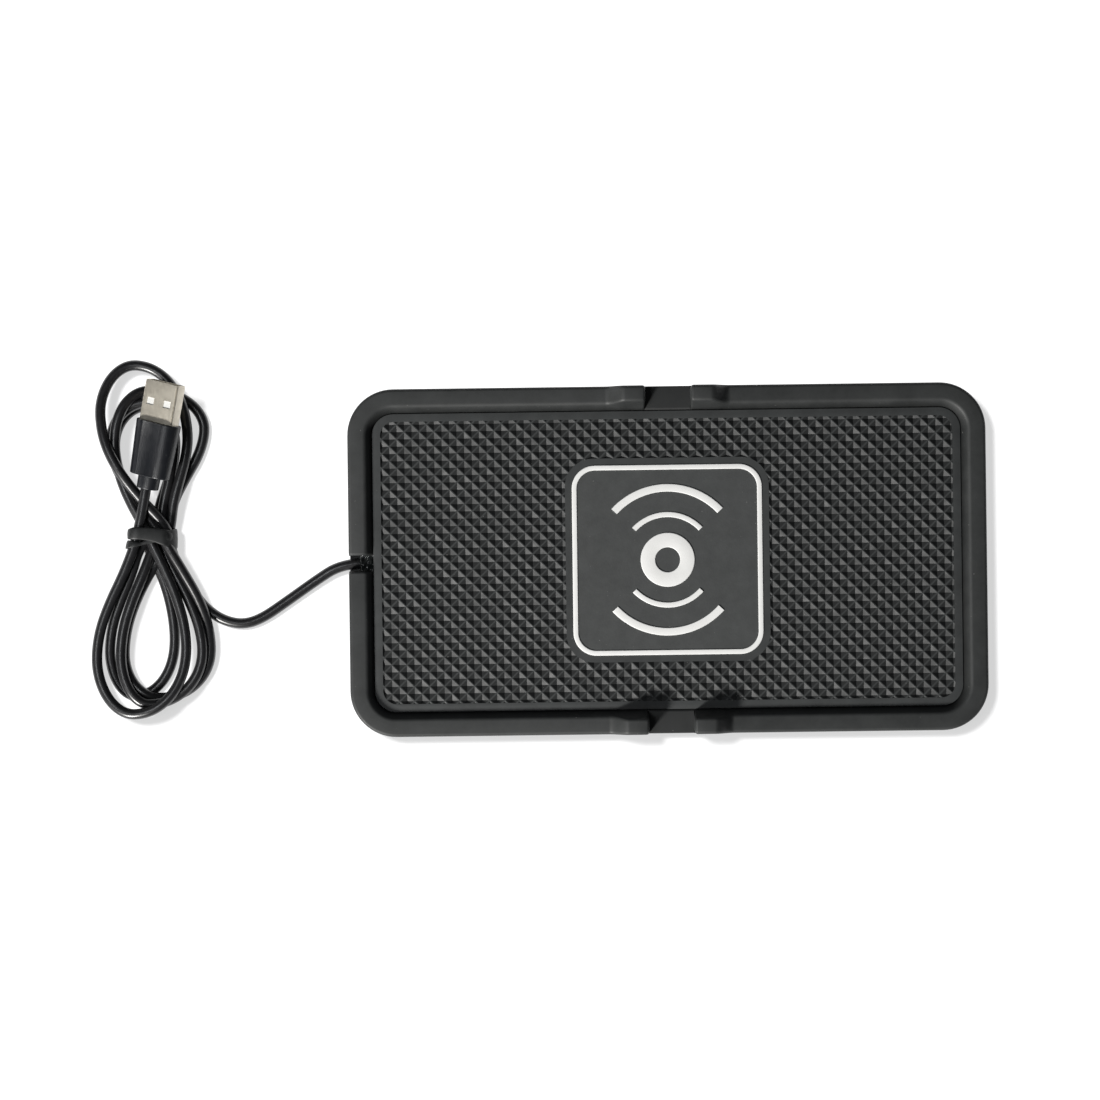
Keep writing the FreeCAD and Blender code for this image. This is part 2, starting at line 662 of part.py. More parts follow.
def make_housing(screws):
    """Base and cover of the charger housing, holed for the screws and the cable's cores."""
    entry = box("core_entry", "module_wall + 2", "core_spread + core_diameter + 0.2",
                "core_diameter + 0.2", x=HOUSING_END + " + module_wall / 2",
                z="core_height - core_diameter / 2 - 0.1")
    base_blank = slab("base_blank", "module_length", "module_width", "module_corner",
                      "floor_high", "module_split - floor_high", x="module_centre")
    base_room = room("base_room", ROOM_LOW, "module_split")
    piece(cut("base", base_blank, base_room, screws, entry), "module_base")
    cover_blank = slab("cover_blank", "module_length", "module_width", "module_corner",
                       "module_split", "skin_low - module_split", x="module_centre")
    cover_room = room("cover_room", "module_split", ROOM_HIGH)
    piece(cut("cover", cover_blank, cover_room, screws, entry), "module_cover")


def make_coil():
    """Ferrite sheet, the flat winding on it, and the winding's two ends."""
    piece(slab("ferrite", "ferrite_side", "ferrite_side", "1.5", ROOM_LOW, "ferrite_thickness"),
          "ferrite_sheet")
    low = size(ROOM_LOW + " + ferrite_thickness")
    turns = int(size("coil_turns"))
    inner = size("coil_inner")
    pitch = (size("coil_outer") - inner) / turns
    crown = low + size("coil_wire")
    groove = low + size("coil_groove * coil_wire")
    section = [Part.LineSegment(Vector(inner + pitch * turns, 0, low), Vector(inner, 0, low)),
               Part.LineSegment(Vector(inner, 0, low), Vector(inner, 0, groove))]
    for turn in range(turns):
        left = inner + pitch * turn
        section.append(Part.Arc(Vector(left, 0, groove), Vector(left + pitch / 2, 0, crown),
                                Vector(left + pitch, 0, groove)))
    section.append(Part.LineSegment(Vector(inner + pitch * turns, 0, groove),
                                    Vector(inner + pitch * turns, 0, low)))
    wire = Part.Wire(Part.__sortEdges__([edge.toShape() for edge in section]))
    winding = doc.addObject("Part::Feature", "winding")
    winding.Shape = Part.Face(wire).revolve(Vector(), Vector(0, 0, 1), 360)
    piece(winding, "transmit_coil")
    ends = [lying_cylinder("coil_end%d" % number, "core_diameter / 3", "coil_end_length",
                           "board_centre + board_length / 2 - 1", side + " coil_end_offset",
                           ROOM_LOW + " + board_thickness + core_diameter / 3")
            for number, side in enumerate("-+")]
    piece(group("coil_ends", ends), "coil_leads")


def make_board():
    """The circuit board and what is soldered to it."""
    piece(slab("board", "board_length", "board_width", "1", ROOM_LOW, "board_thickness",
               x="board_centre"), "circuit_board")
    top = ROOM_LOW + " + board_thickness"
    piece(slab("controller", "chip_side", "chip_side", "0.3", top, "chip_thickness",
               x="board_centre", y="7"), "controller_chip")
    transistors = [box("transistor%d" % n, "transistor_side", "transistor_side",
                       "transistor_height", "board_centre + 7.5",
                       "transistor_pitch * %d - 18" % n, top) for n in range(4)]
    piece(group("bridge", transistors), "bridge_transistors")
    capacitors = [box("capacitor%d" % n, "capacitor_length", "capacitor_width",
                      "capacitor_height", "board_centre + 8.5",
                      "capacitor_pitch * %d + 7.5" % n, top) for n in range(4)]
    piece(group("tank", capacitors), "resonance_capacitors")
    piece(slab("choke", "inductor_side", "inductor_side", "1.2", top, "inductor_height",
               x="board_centre - 6", y="-11"), "filter_inductor")
    resistors = [box("resistor%d_%d" % (column, line), "resistor_length", "resistor_width",
                     "resistor_height", "board_centre + resistor_column * %d - 8" % column,
                     "resistor_line * %d + 14.5" % line, top)
                 for column in range(4) for line in range(3)]
    piece(group("resistors", resistors), "chip_resistors")


# ------------------------------------------------------------------------- cable

SEALANT_START = "-mat_length / 2 + sealant_setback"
SEALANT_END = "-mat_length / 2 + rim_width"

# The free cable from the notch to the hank, as corners of a path of straight runs.
LEAD_ROUTE = [
    (-98.0, 0.0, 3.05),
    (-103.5, -0.6, 3.0),
    (-110.5, -5.0, 2.0),
    (-120.0, -11.6, 1.7),
    (-128.0, -17.0, 1.7),
    (-134.2, -18.8, 1.7),
    (-140.6, -17.2, 1.7),
    (-146.1, -13.2, 1.7),
    (-150.8, -6.4, 1.8),
    (-155.2, 0.8, 2.4),
]

# The last stretch, from inside the tie up to the plug's neck.
TAIL_ROUTE = [
    (-165.2, 9.9, 8.4),
    (-164.2, 17.6, 9.3),
    (-162.9, 24.2, 9.95),
]


def cord_tube(name, route, label):
    """A round tube along straight runs joined by tangent arcs."""
    points = [Vector(*point) for point in route]
    radius = size("cord_diameter") / 2
    edges = []
    here = points[0]
    for before, corner, after in zip(points, points[1:], points[2:]):
        incoming = corner - before
        outgoing = after - corner
        reach = 0.45 * min(incoming.Length, outgoing.Length)
        turn = incoming.getAngle(outgoing)
        incoming.normalize()
        outgoing.normalize()
        start = corner - incoming * reach
        end = corner + outgoing * reach
        bend = reach / math.tan(turn / 2)
        print("%s bend at (%.1f, %.1f): radius %.1f" % (label, corner.x, corner.y, bend))
        to_centre = outgoing - incoming
        to_centre.normalize()
        centre = corner + to_centre * math.hypot(bend, reach)
        middle = centre - to_centre * bend
        edges.append(Part.LineSegment(here, start).toShape())
        edges.append(Part.Arc(start, middle, end).toShape())
        here = end
    edges.append(Part.LineSegment(here, points[-1]).toShape())
    spine = Part.Wire(edges)
    section = Part.Wire([Part.Circle(points[0], points[1] - points[0], radius).toShape()])
    solid = spine.makePipeShell([section], True, True)
    print("%s length %.1f, volume over section times length %.4f"
          % (label, spine.Length, solid.Volume / (math.pi * radius ** 2 * spine.Length)))
    tube = doc.addObject("Part::Feature", name)
    tube.Shape = solid
    piece(tube, label)


def make_cable():
    """The captive cable: inside the mat, through the notch, and free up to the hank."""
    start_x = "%g" % LEAD_ROUTE[0][0]
    piece(lying_cylinder("inner_run", "cord_diameter / 2", "%s - (%s)" % (HOUSING_END, start_x),
                         start_x, "0", "cord_exit_height"), "cord_inner_run")
    cores = [lying_cylinder("core%d" % number, "core_diameter / 2", "module_wall + 4.5",
                            HOUSING_END, "0 %s core_spread / 2" % side, "core_height")
             for number, side in enumerate("-+")]
    piece(group("cores", cores), "cord_wires")
    sealant = box("sealant_block", "%s - (%s)" % (SEALANT_END, SEALANT_START), "notch_width",
                  "cord_diameter", x="(%s + (%s)) / 2" % (SEALANT_START, SEALANT_END),
                  z="sealant_low")
    bore = lying_cylinder("sealant_bore", "cord_diameter / 2", "rim_width", SEALANT_START + " - 1",
                          "0", "cord_exit_height")
    piece(cut("sealant", sealant, bore), "glue_bead")
    cord_tube("lead", LEAD_ROUTE, "cord_lead")
    cord_tube("tail", TAIL_ROUTE, "cord_tail")


def lobe(name, reach, radius, side):
    """One half of the folded hank, on the + or - side of the tie."""
    sketch = doc.addObject("Sketcher::SketchObject", name + "_outline")
    draw_teardrop(sketch, "waist_width", reach, radius)
    heading = 0 if side == "+" else 180
    turn_and_place(sketch, "tie_along; tie_across %s tie_width / 2; 0" % side,
                   "vector(0; 0; 1); %d" % heading)
    solid = extrude(name, sketch, "lobe_height")
    return round_edges(name + "_rounded", solid, "cord_diameter / 2",
                       lies_at(0, size("lobe_height")))


def make_hank():
    """The folded cable and the flat band round its middle."""
    lift = "tie_thickness"
    bundle = box("bundle_block", "waist_width", "tie_width", "waist_height",
                 "tie_along", "tie_across", lift)
    bundle = round_edges("bundle", bundle, "waist_round", runs_along(Vector(0, 1, 0)))
    upper = lobe("upper_lobe", "upper_reach", "upper_radius", "+")
    lower = lobe("lower_lobe", "lower_reach", "lower_radius", "-")
    piece(fuse("hank", upper, lower, bundle), "cord_hank")
    outer = box("band_block", "waist_width + 2 * tie_thickness", "tie_width",
                "waist_height + 2 * tie_thickness", "tie_along", "tie_across", "0")
    outer = round_edges("band_outer", outer, "waist_round + tie_thickness",
                        runs_along(Vector(0, 1, 0)))
    piece(cut("band", outer, bundle), "hank_tie")


# -------------------------------------------------------------------------- plug


def on_plug(solid, label):
    """Put a piece, made along +X from the grip's cable end, where the plug lies."""
    turn_and_place(solid, "plug_along; plug_across; plug_height", "90 + plug_yaw; -plug_rise; plug_roll")
    piece(solid, label)


def plug_box(name, length, width, height, start, y="0", z="0"):
    """A box along the plug from `start`, centred on (y, z)."""
    solid = doc.addObject("Part::Box", name)
    bind(solid, Length=length, Width=width, Height=height)
    place(solid, start, "%s - (%s) / 2" % (y, width), "%s - (%s) / 2" % (z, height))
    return solid


def make_plug():
    """USB-A plug: moulded grip and neck, folded shell, tongue and contacts."""
    shell_start = "grip_length - shell_sunk"
    shell_whole = "shell_length + shell_sunk"
    grip_block = plug_box("grip_block", "grip_length", "grip_width", "grip_thickness", "0")
    grip_block = round_edges("grip_rounded", grip_block, "grip_round", runs_along(Vector(1, 0, 0)))
    neck = lying_cylinder("neck", "neck_radius", "neck_length", "-neck_length")
    socket = plug_box("grip_socket", "shell_sunk", "shell_width", "shell_thickness", shell_start)
    on_plug(cut("grip_moulding", fuse("grip_and_neck", grip_block, neck), socket), "usb_overmould")

    skin = plug_box("shell_block", shell_whole, "shell_width", "shell_thickness", shell_start)
    hollow = plug_box("shell_hollow", shell_whole, "shell_width - 2 * shell_wall",
                      "shell_thickness - 2 * shell_wall", shell_start + " + shell_wall")
    windows = [plug_box("window%d" % number, "window_length", "window_width", "shell_thickness + 2",
                        "grip_length + window_from_grip - window_length / 2",
                        "0 %s window_offset" % side)
               for number, side in enumerate("-+")]
    on_plug(cut("shell", skin, hollow, *windows), "usb_shell")

    tongue_level = "shell_thickness / 2 - shell_wall - tongue_thickness / 2"
    tongue_length = shell_whole + " - shell_wall - 0.8"
    tongue = plug_box("tongue_block", tongue_length, "tongue_width", "tongue_thickness",
                      shell_start + " + shell_wall", z=tongue_level)
    on_plug(group("tongue", [tongue]), "usb_tongue")
    strips = [plug_box("contact%d" % number, "contact_length", "contact_width",
                       "contact_thickness", "grip_length + contact_from_grip",
                       "contact_pitch * %g" % (number - 1.5),
                       tongue_level + " - tongue_thickness / 2 - contact_thickness / 2")
              for number in range(4)]
    on_plug(group("contacts", strips), "usb_contacts")


# ------------------------------------------------------------------ build and write

make_tray()
make_grip_sheet()
make_insert()
make_emblem()
make_housing(make_screws())
make_coil()
make_board()
make_cable()
make_hank()
make_plug()
doc.recompute()

for thing in doc.Objects:
    if "Invalid" in thing.State or "Error" in thing.State:
        raise RuntimeError("%s is in state %s" % (thing.Name, thing.State))
for label, solid in pieces.items():
    shape = solid.Shape
    if shape.isNull() or not shape.isValid() or not shape.Solids:
        raise RuntimeError("%s has no valid solid" % label)

os.makedirs("parts", exist_ok=True)
for label, solid in pieces.items():
    solid.Shape.exportStep("parts/%s.step" % label)
    corners = solid.Shape.BoundBox
    print("%-22s %2d solid(s) %9.1f mm3   x %.1f..%.1f  y %.1f..%.1f  z %.2f..%.2f"
          % (label, len(solid.Shape.Solids), solid.Shape.Volume, corners.XMin, corners.XMax,
             corners.YMin, corners.YMax, corners.ZMin, corners.ZMax))
print("%d sub-parts" % len(pieces))
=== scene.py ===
"""A wireless charging mat: silicone tray, textured insert, white coil emblem, tied cable and USB plug.

Everything is in metres in the mat's own frame: +X along the long side away from the cable,
+Y along the short side, +Z up, origin at the middle of the underside.
"""

import math

import bmesh
import bpy
import numpy as np
from mathutils import Matrix, Vector


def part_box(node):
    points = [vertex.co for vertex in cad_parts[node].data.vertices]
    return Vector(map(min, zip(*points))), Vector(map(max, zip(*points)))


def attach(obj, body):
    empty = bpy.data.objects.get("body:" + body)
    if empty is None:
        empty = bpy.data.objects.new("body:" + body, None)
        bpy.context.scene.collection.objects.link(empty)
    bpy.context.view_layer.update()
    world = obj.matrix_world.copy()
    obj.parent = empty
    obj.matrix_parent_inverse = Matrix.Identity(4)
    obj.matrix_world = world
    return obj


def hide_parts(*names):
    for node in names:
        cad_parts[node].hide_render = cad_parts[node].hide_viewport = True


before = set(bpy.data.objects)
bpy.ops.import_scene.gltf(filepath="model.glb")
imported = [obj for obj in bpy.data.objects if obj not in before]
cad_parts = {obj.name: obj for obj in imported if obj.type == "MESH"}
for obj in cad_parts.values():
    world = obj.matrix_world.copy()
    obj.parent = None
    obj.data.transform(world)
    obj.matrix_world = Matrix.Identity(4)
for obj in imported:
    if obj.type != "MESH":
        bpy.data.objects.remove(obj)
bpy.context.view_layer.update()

MM = 0.001


def node_box(name):
    """A CAD node's lowest and highest corners."""
    low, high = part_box(name)
    return Vector(low), Vector(high)


# ------------------------------------------------------------------- sizes

tray_high = node_box("mat_tray")[1]
sheet_high = node_box("grip_sheet")[1]
insert_low, insert_high = node_box("pad_insert")
emblem_low, emblem_high = node_box("emblem_frame")
plate_high = node_box("emblem_plate")[1]
ring_low, ring_high = node_box("emblem_ring")
short_low, short_high = node_box("emblem_inner_arcs")
long_low, long_high = node_box("emblem_outer_arcs")
module_low = node_box("module_base")[0]
module_high = node_box("module_cover")[1]

DECK = plate_high.z
FLOOR_TOP = insert_low.z
HALF_LENGTH = tray_high.x
HALF_WIDTH = tray_high.y
MAT_CORNER = 14.5 * MM
RIM_WIDTH = 7.45 * MM
RIM_TOP = 8.5 * MM
RIM_SLOPE = 1.9 * MM
STOP_TOP = tray_high.z
STOP_SLOPE = 2.5 * MM
STOP_FLAT = 6.2 * MM
STOP_RAMP = 6.4 * MM
SLOT_WIDTH = 14.2 * MM
SLOT_SHIFT = 0.5 * MM
STOP_END_ROUND = 0.9 * MM
NOTCH_WIDTH = 4.9 * MM
INSERT_CORNER = 6.85 * MM
MARGIN = 2.6 * MM
FIELD_CORNER = 4.4 * MM
EMBLEM_ZONE = 32.0 * MM
EMBLEM_ZONE_CORNER = 8.8 * MM
EMBLEM_CORNER = 7.25 * MM
EMBLEM_LINE = 1.57 * MM
RING_MIDDLE = 6.2 * MM
RING_LINE = 4.6 * MM
SHORT_ARC_LINE = 1.67 * MM
LONG_ARC_LINE = 2.42 * MM
ARC_HALF_ANGLE = math.radians(47.4)
MODULE_CORNER = 4.0 * MM
CHANNEL_GAP = 0.15 * MM
SHEET_CORNER = 10.5 * MM
PIT_LENGTH = 4.70 * MM
PIT_WIDTH = 4.57 * MM
PIT_DEPTH = 0.8 * MM
RIDGE = 0.26 * MM
CORD_DIAMETER = 3.3 * MM
CORD_RADIUS = CORD_DIAMETER / 2


# ------------------------------------------------------------- mesh helpers


def new_object(name, mesh):
    """A linked object for a mesh."""
    thing = bpy.data.objects.new(name, mesh)
    bpy.context.scene.collection.objects.link(thing)
    return thing


def mesh_object(name, points, faces, material, sharp=None):
    """A closed mesh object; edges that turn by more than `sharp` degrees stay crisp."""
    build = bmesh.new()
    corners = [build.verts.new(point) for point in points]
    for face in faces:
        build.faces.new([corners[index] for index in face])
    bmesh.ops.remove_doubles(build, verts=build.verts, dist=0.001 * MM)
    bmesh.ops.dissolve_degenerate(build, edges=build.edges, dist=0.0005 * MM)
    bmesh.ops.recalc_face_normals(build, faces=build.faces)
    mesh = bpy.data.meshes.new(name)
    shade(build, sharp)
    build.to_mesh(mesh)
    build.free()
    mesh.materials.append(material)
    return new_object(name, mesh)


def shade(build, sharp):
    """Smooth shading everywhere except across sharp edges; flat where sharp is None."""
    for face in build.faces:
        face.smooth = sharp is not None
    if sharp is None:
        return
    for edge in build.edges:
        if len(edge.link_faces) == 2:
            edge.smooth = edge.calc_face_angle(0) < math.radians(sharp)


def loft(rings, closed_rings=True, closed_loft=False, caps=True):
    """Points and faces of a skin over rings that all have the same number of points."""
    count = len(rings[0])
    points = [point for ring in rings for point in ring]
    faces = []
    steps = len(rings) if closed_loft else len(rings) - 1
    around = count if closed_rings else count - 1
    for step in range(steps):
        following = (step + 1) % len(rings)
        for index in range(around):
            after = (index + 1) % count
            faces.append((step * count + index, step * count + after,
                          following * count + after, following * count + index))
    if caps and not closed_loft:
        faces.append(tuple(range(count)))
        faces.append(tuple(range((len(rings) - 1) * count, len(rings) * count)))
    return points, faces


def rounded_rectangle(half_x, half_y, corner, steps=10):
    """Points around a rounded rectangle, anticlockwise."""
    points = []
    for turn, (sx, sy) in enumerate(((1, 1), (-1, 1), (-1, -1), (1, -1))):
        for step in range(steps + 1):
            angle = math.pi / 2 * (turn + step / steps)
            points.append((sx * (half_x - corner) + corner * math.cos(angle),
                           sy * (half_y - corner) + corner * math.sin(angle)))
    return points


def plate_rings(half_x, half_y, corner, low, high, edge, steps=10, centre=(0, 0)):
    """Rings of a flat plate whose top edge is rounded by `edge`."""
    rings = []
    levels = [(0, low)]
    for step in range(5):
        angle = math.pi / 2 * step / 4
        levels.append((edge * (1 - math.cos(angle)), high - edge + edge * math.sin(angle)))
    for inset, height in levels:
        outline = rounded_rectangle(half_x - inset, half_y - inset, corner - inset, steps)
        rings.append([(x + centre[0], y + centre[1], height) for x, y in outline])
    return rings


def boolean(target, cutter, operation="DIFFERENCE"):
    """Apply a boolean with another object and remove that object."""
    change = target.modifiers.new("cut", "BOOLEAN")
    change.operation = operation
    change.solver = "EXACT"
    change.object = cutter
    apply_modifiers(target)
    bpy.data.objects.remove(cutter, do_unlink=True)


def apply_modifiers(thing):
    """Replace an object's mesh by what its modifiers make of it."""
    graph = bpy.context.evaluated_depsgraph_get()
    mesh = bpy.data.meshes.new_from_object(thing.evaluated_get(graph))
    old = thing.data
    thing.modifiers.clear()
    thing.data = mesh
    bpy.data.meshes.remove(old)


# ----------------------------------------------------------------- materials


def node(tree, kind, **values):
    """A shader node with its properties and socket values set."""
    made = tree.nodes.new(kind)
    for name, value in values.items():
        if hasattr(made, name):
            setattr(made, name, value)
        else:
            made.inputs[name.replace("_", " ")].default_value = value
    return made


def noise(tree, scale, detail=3.0, roughness=0.55, coordinates=None):
    """Noise with features of about 1/scale metres."""
    made = node(tree, "ShaderNodeTexNoise", Scale=scale, Detail=detail, Roughness=roughness)
    tree.links.new(coordinates or place_on_object(tree), made.inputs["Vector"])
    return made.outputs["Fac"]


def place_on_object(tree):
    """The object-coordinates socket, made once for each material."""
    for existing in tree.nodes:
        if existing.type == "TEX_COORD":
            return existing.outputs["Object"]
    return tree.nodes.new("ShaderNodeTexCoord").outputs["Object"]


def spread(tree, value, low, high, new_low, new_high):
    """Map a value from one range to another, clamped."""
    made = node(tree, "ShaderNodeMapRange")
    made.inputs["From Min"].default_value = low
    made.inputs["From Max"].default_value = high
    made.inputs["To Min"].default_value = new_low
    made.inputs["To Max"].default_value = new_high
    tree.links.new(value, made.inputs["Value"])
    return made.outputs["Result"]


def blend_colours(tree, factor, first, second):
    """Mix two colours (each a tuple or a socket) by a factor socket."""
    made = tree.nodes.new("ShaderNodeMix")
    made.data_type = "RGBA"
    tree.links.new(factor, made.inputs["Factor"])
    for socket, colour in ((made.inputs[6], first), (made.inputs[7], second)):
        if isinstance(colour, tuple):
            socket.default_value = (*colour, 1)
        else:
            tree.links.new(colour, socket)
    return made.outputs[2]


def bump(tree, height, strength, distance, below=None):
    """A bump over an optional coarser bump; distance is in metres."""
    made = node(tree, "ShaderNodeBump", Strength=strength, Distance=distance)
    tree.links.new(height, made.inputs["Height"])
    if below:
        tree.links.new(below, made.inputs["Normal"])
    return made.outputs["Normal"]


def height_share(tree, low, high):
    """0 up to the height low, 1 from the height high, in the object's own coordinates."""
    height = tree.nodes.new("ShaderNodeSeparateXYZ")
    tree.links.new(place_on_object(tree), height.inputs["Vector"])
    return spread(tree, height.outputs["Z"], low, high, 0, 1)


def material(name, colour, shade_to, rough, mottle=120, grain=2500, grain_depth=0.02 * MM,
             swell=0.0, specks=0.0, painted_shade=None, **fixed):
    """A moulded or painted surface.

    colour and shade_to are the two tones that mottle between each other; rough is a pair of
    roughness limits; grain and swell are fine and slow relief; specks is the share of dust;
    painted_shade is (low, high, share), painted shade where the tone falls to that share at
    heights below low and rises back to full by the height high.
    """
    made = bpy.data.materials.new(name)
    made.use_nodes = True
    tree = made.node_tree
    shader = tree.nodes["Principled BSDF"]
    for key, value in fixed.items():
        shader.inputs[key.replace("_", " ")].default_value = value
    patches = noise(tree, mottle, 9.0, 0.72)
    tone = blend_colours(tree, spread(tree, patches, 0.35, 0.65, 0, 1), colour, shade_to)
    fine = noise(tree, grain, 2.0)
    # Painted shade: below the height low the tone is darkened, standing in for shade in recesses and on
    # sunken slopes.
    if painted_shade:
        low, high, share = painted_shade
        tone = blend_colours(tree, height_share(tree, low, high),
                             tuple(part * share for part in colour), tone)
    if specks:
        dust = noise(tree, 1500, 0.0, 0.4)
        tone = blend_colours(tree, spread(tree, dust, 1 - specks, 1 - specks + 0.02, 0, 0.5),
                             tone, (0.24, 0.24, 0.23))
    tree.links.new(tone, shader.inputs["Base Color"])
    tree.links.new(spread(tree, noise(tree, mottle * 2.5, 5.0), 0.3, 0.7, rough[0], rough[1]),
                   shader.inputs["Roughness"])
    normal = None
    if swell:
        normal = bump(tree, noise(tree, 60, 2.0), 1.0, swell)
    tree.links.new(bump(tree, fine, 1.0, grain_depth, normal), shader.inputs["Normal"])
    return made


def scratched_metal(name, colour, shade_to, rough, metallic=1.0):
    """Plated sheet metal with fine lengthwise rolling marks."""
    made = bpy.data.materials.new(name)
    made.use_nodes = True
    tree = made.node_tree
    shader = tree.nodes["Principled BSDF"]
    shader.inputs["Metallic"].default_value = metallic
    stretch = node(tree, "ShaderNodeMapping")
    stretch.inputs["Scale"].default_value = (1, 0.08, 1)
    tree.links.new(place_on_object(tree), stretch.inputs["Vector"])
    marks = noise(tree, 5000, 3.0, 0.6, stretch.outputs["Vector"])
    tone = blend_colours(tree, spread(tree, noise(tree, 350, 4.0), 0.35, 0.65, 0, 1), colour, shade_to)
    tree.links.new(tone, shader.inputs["Base Color"])
    tree.links.new(spread(tree, marks, 0.3, 0.7, rough[0], rough[1]), shader.inputs["Roughness"])
    tree.links.new(bump(tree, marks, 0.6, 0.004 * MM), shader.inputs["Normal"])
    return made


# The tray gets painted shade: the lower a surface lies below the rim's top, the darker it is, standing in
# for shade on the inner slopes, in the crevice and in the slots.
SILICONE = material("tray_silicone", (0.018, 0.0195, 0.0195), (0.029, 0.031, 0.031), (0.5, 0.66),
                    mottle=90, grain=2600, grain_depth=0.012 * MM, swell=0.05 * MM, specks=0.13,
                    painted_shade=(DECK - 0.2 * MM, RIM_TOP - 0.5 * MM, 0.62))
# The insert gets painted shade: surfaces below the deck, chiefly the pits, are darkened, standing in for
# shade inside them.
INSERT = material("insert_silicone", (0.0235, 0.0255, 0.026), (0.036, 0.039, 0.0395), (0.55, 0.72),
                  mottle=110, grain=3000, grain_depth=0.014 * MM, specks=0.13,
                  painted_shade=(DECK - 0.14 * MM, DECK - 0.04 * MM, 0.6))
PLATE = material("plate_silicone", (0.041, 0.0435, 0.0435), (0.054, 0.057, 0.057), (0.6, 0.75),
                 mottle=200, grain=2200, grain_depth=0.03 * MM, specks=0.14)
WHITE = material("white_silicone", (0.80, 0.80, 0.785), (0.84, 0.84, 0.83), (0.5, 0.62),
                 mottle=150, grain=2500, grain_depth=0.01 * MM)
JACKET = material("cord_jacket", (0.009, 0.009, 0.010), (0.014, 0.014, 0.015), (0.28, 0.36),
                  mottle=260, grain=3000, grain_depth=0.002 * MM, swell=0.03 * MM,
                  Specular_IOR_Level=0.6)
BAND = material("band_rubber", (0.010, 0.0108, 0.011), (0.016, 0.017, 0.0175), (0.42, 0.56),
                mottle=300, grain=2600, grain_depth=0.02 * MM, swell=0.08 * MM)
SEALANT = material("sealant", (0.010, 0.012, 0.012), (0.018, 0.021, 0.021), (0.06, 0.2),
                   mottle=500, grain=900, grain_depth=0.08 * MM)
PLUG = material("plug_plastic", (0.006, 0.007, 0.0095), (0.010, 0.011, 0.0135), (0.3, 0.4),
                mottle=260, grain=3600, grain_depth=0.06 * MM, swell=0.03 * MM, specks=0.12)
GEL = material("tacky_gel", (0.022, 0.022, 0.023), (0.03, 0.03, 0.031), (0.16, 0.3),
               mottle=60, grain=1200, grain_depth=0.02 * MM, swell=0.08 * MM, specks=0.15)
HOUSING = material("housing_plastic", (0.035, 0.035, 0.036), (0.045, 0.045, 0.046), (0.45, 0.6))
FERRITE = material("ferrite", (0.05, 0.045, 0.043), (0.075, 0.068, 0.065), (0.5, 0.7), mottle=400)
COPPER = material("copper", (0.62, 0.27, 0.13), (0.75, 0.36, 0.2), (0.25, 0.4), grain=4000,
                  Metallic=1.0)
BOARD = material("board_green", (0.012, 0.09, 0.045), (0.016, 0.12, 0.06), (0.25, 0.4), mottle=500)
CHIP = material("chip_black", (0.015, 0.015, 0.016), (0.02, 0.02, 0.021), (0.5, 0.65), grain=4000)
CERAMIC = material("ceramic", (0.42, 0.3, 0.19), (0.5, 0.38, 0.25), (0.35, 0.5), mottle=800)
CORES = material("core_insulation", (0.4, 0.02, 0.02), (0.48, 0.03, 0.03), (0.3, 0.42))
TONGUE = material("tongue_plastic", (0.62, 0.62, 0.6), (0.7, 0.7, 0.68), (0.4, 0.55))
STEEL = scratched_metal("shell_metal", (0.56, 0.52, 0.44), (0.66, 0.615, 0.525), (0.38, 0.52), 0.88)
SCREWS = scratched_metal("screw_steel", (0.5, 0.5, 0.5), (0.6, 0.6, 0.6), (0.3, 0.45))
GOLD = material("contact_gold", (0.83, 0.6, 0.25), (0.9, 0.68, 0.32), (0.2, 0.32), grain=4000,
                Metallic=1.0)


# --------------------------------------------------------- camera and lights

CAMERA_HEIGHT = 900 * MM
CAMERA_SPOT = (-36.9 * MM, 3.5 * MM)
CAMERA_ROLL = math.radians(-0.73)
VIEW_ACROSS = 347.5 * MM
SENSOR = 36.0


def make_camera():
    """Straight down on the mat, with the cable's hank at the left."""
    data = bpy.data.cameras.new("camera")
    data.sensor_width = SENSOR
    data.lens = SENSOR * CAMERA_HEIGHT / VIEW_ACROSS
    data.clip_start = 0.01
    thing = new_object("camera", data)
    thing.location = (*CAMERA_SPOT, CAMERA_HEIGHT)
    thing.rotation_euler = (0, 0, CAMERA_ROLL)
    bpy.context.scene.camera = thing


def make_light(name, azimuth, elevation, distance, size, watts, tint=(1, 1, 1)):
    """A square soft light aimed at the mat."""
    data = bpy.data.lights.new(name, "AREA")
    data.shape = "SQUARE"
    data.size = size
    data.energy = watts
    data.color = tint
    thing = new_object(name, data)
    flat = math.cos(math.radians(elevation))
    spot = Vector((flat * math.cos(math.radians(azimuth)), flat * math.sin(math.radians(azimuth)),
                   math.sin(math.radians(elevation)))) * distance
    target = Vector((*CAMERA_SPOT, 0))
    thing.location = target + spot
    thing.rotation_euler = (-spot).to_track_quat("-Z", "Y").to_euler()
    return thing


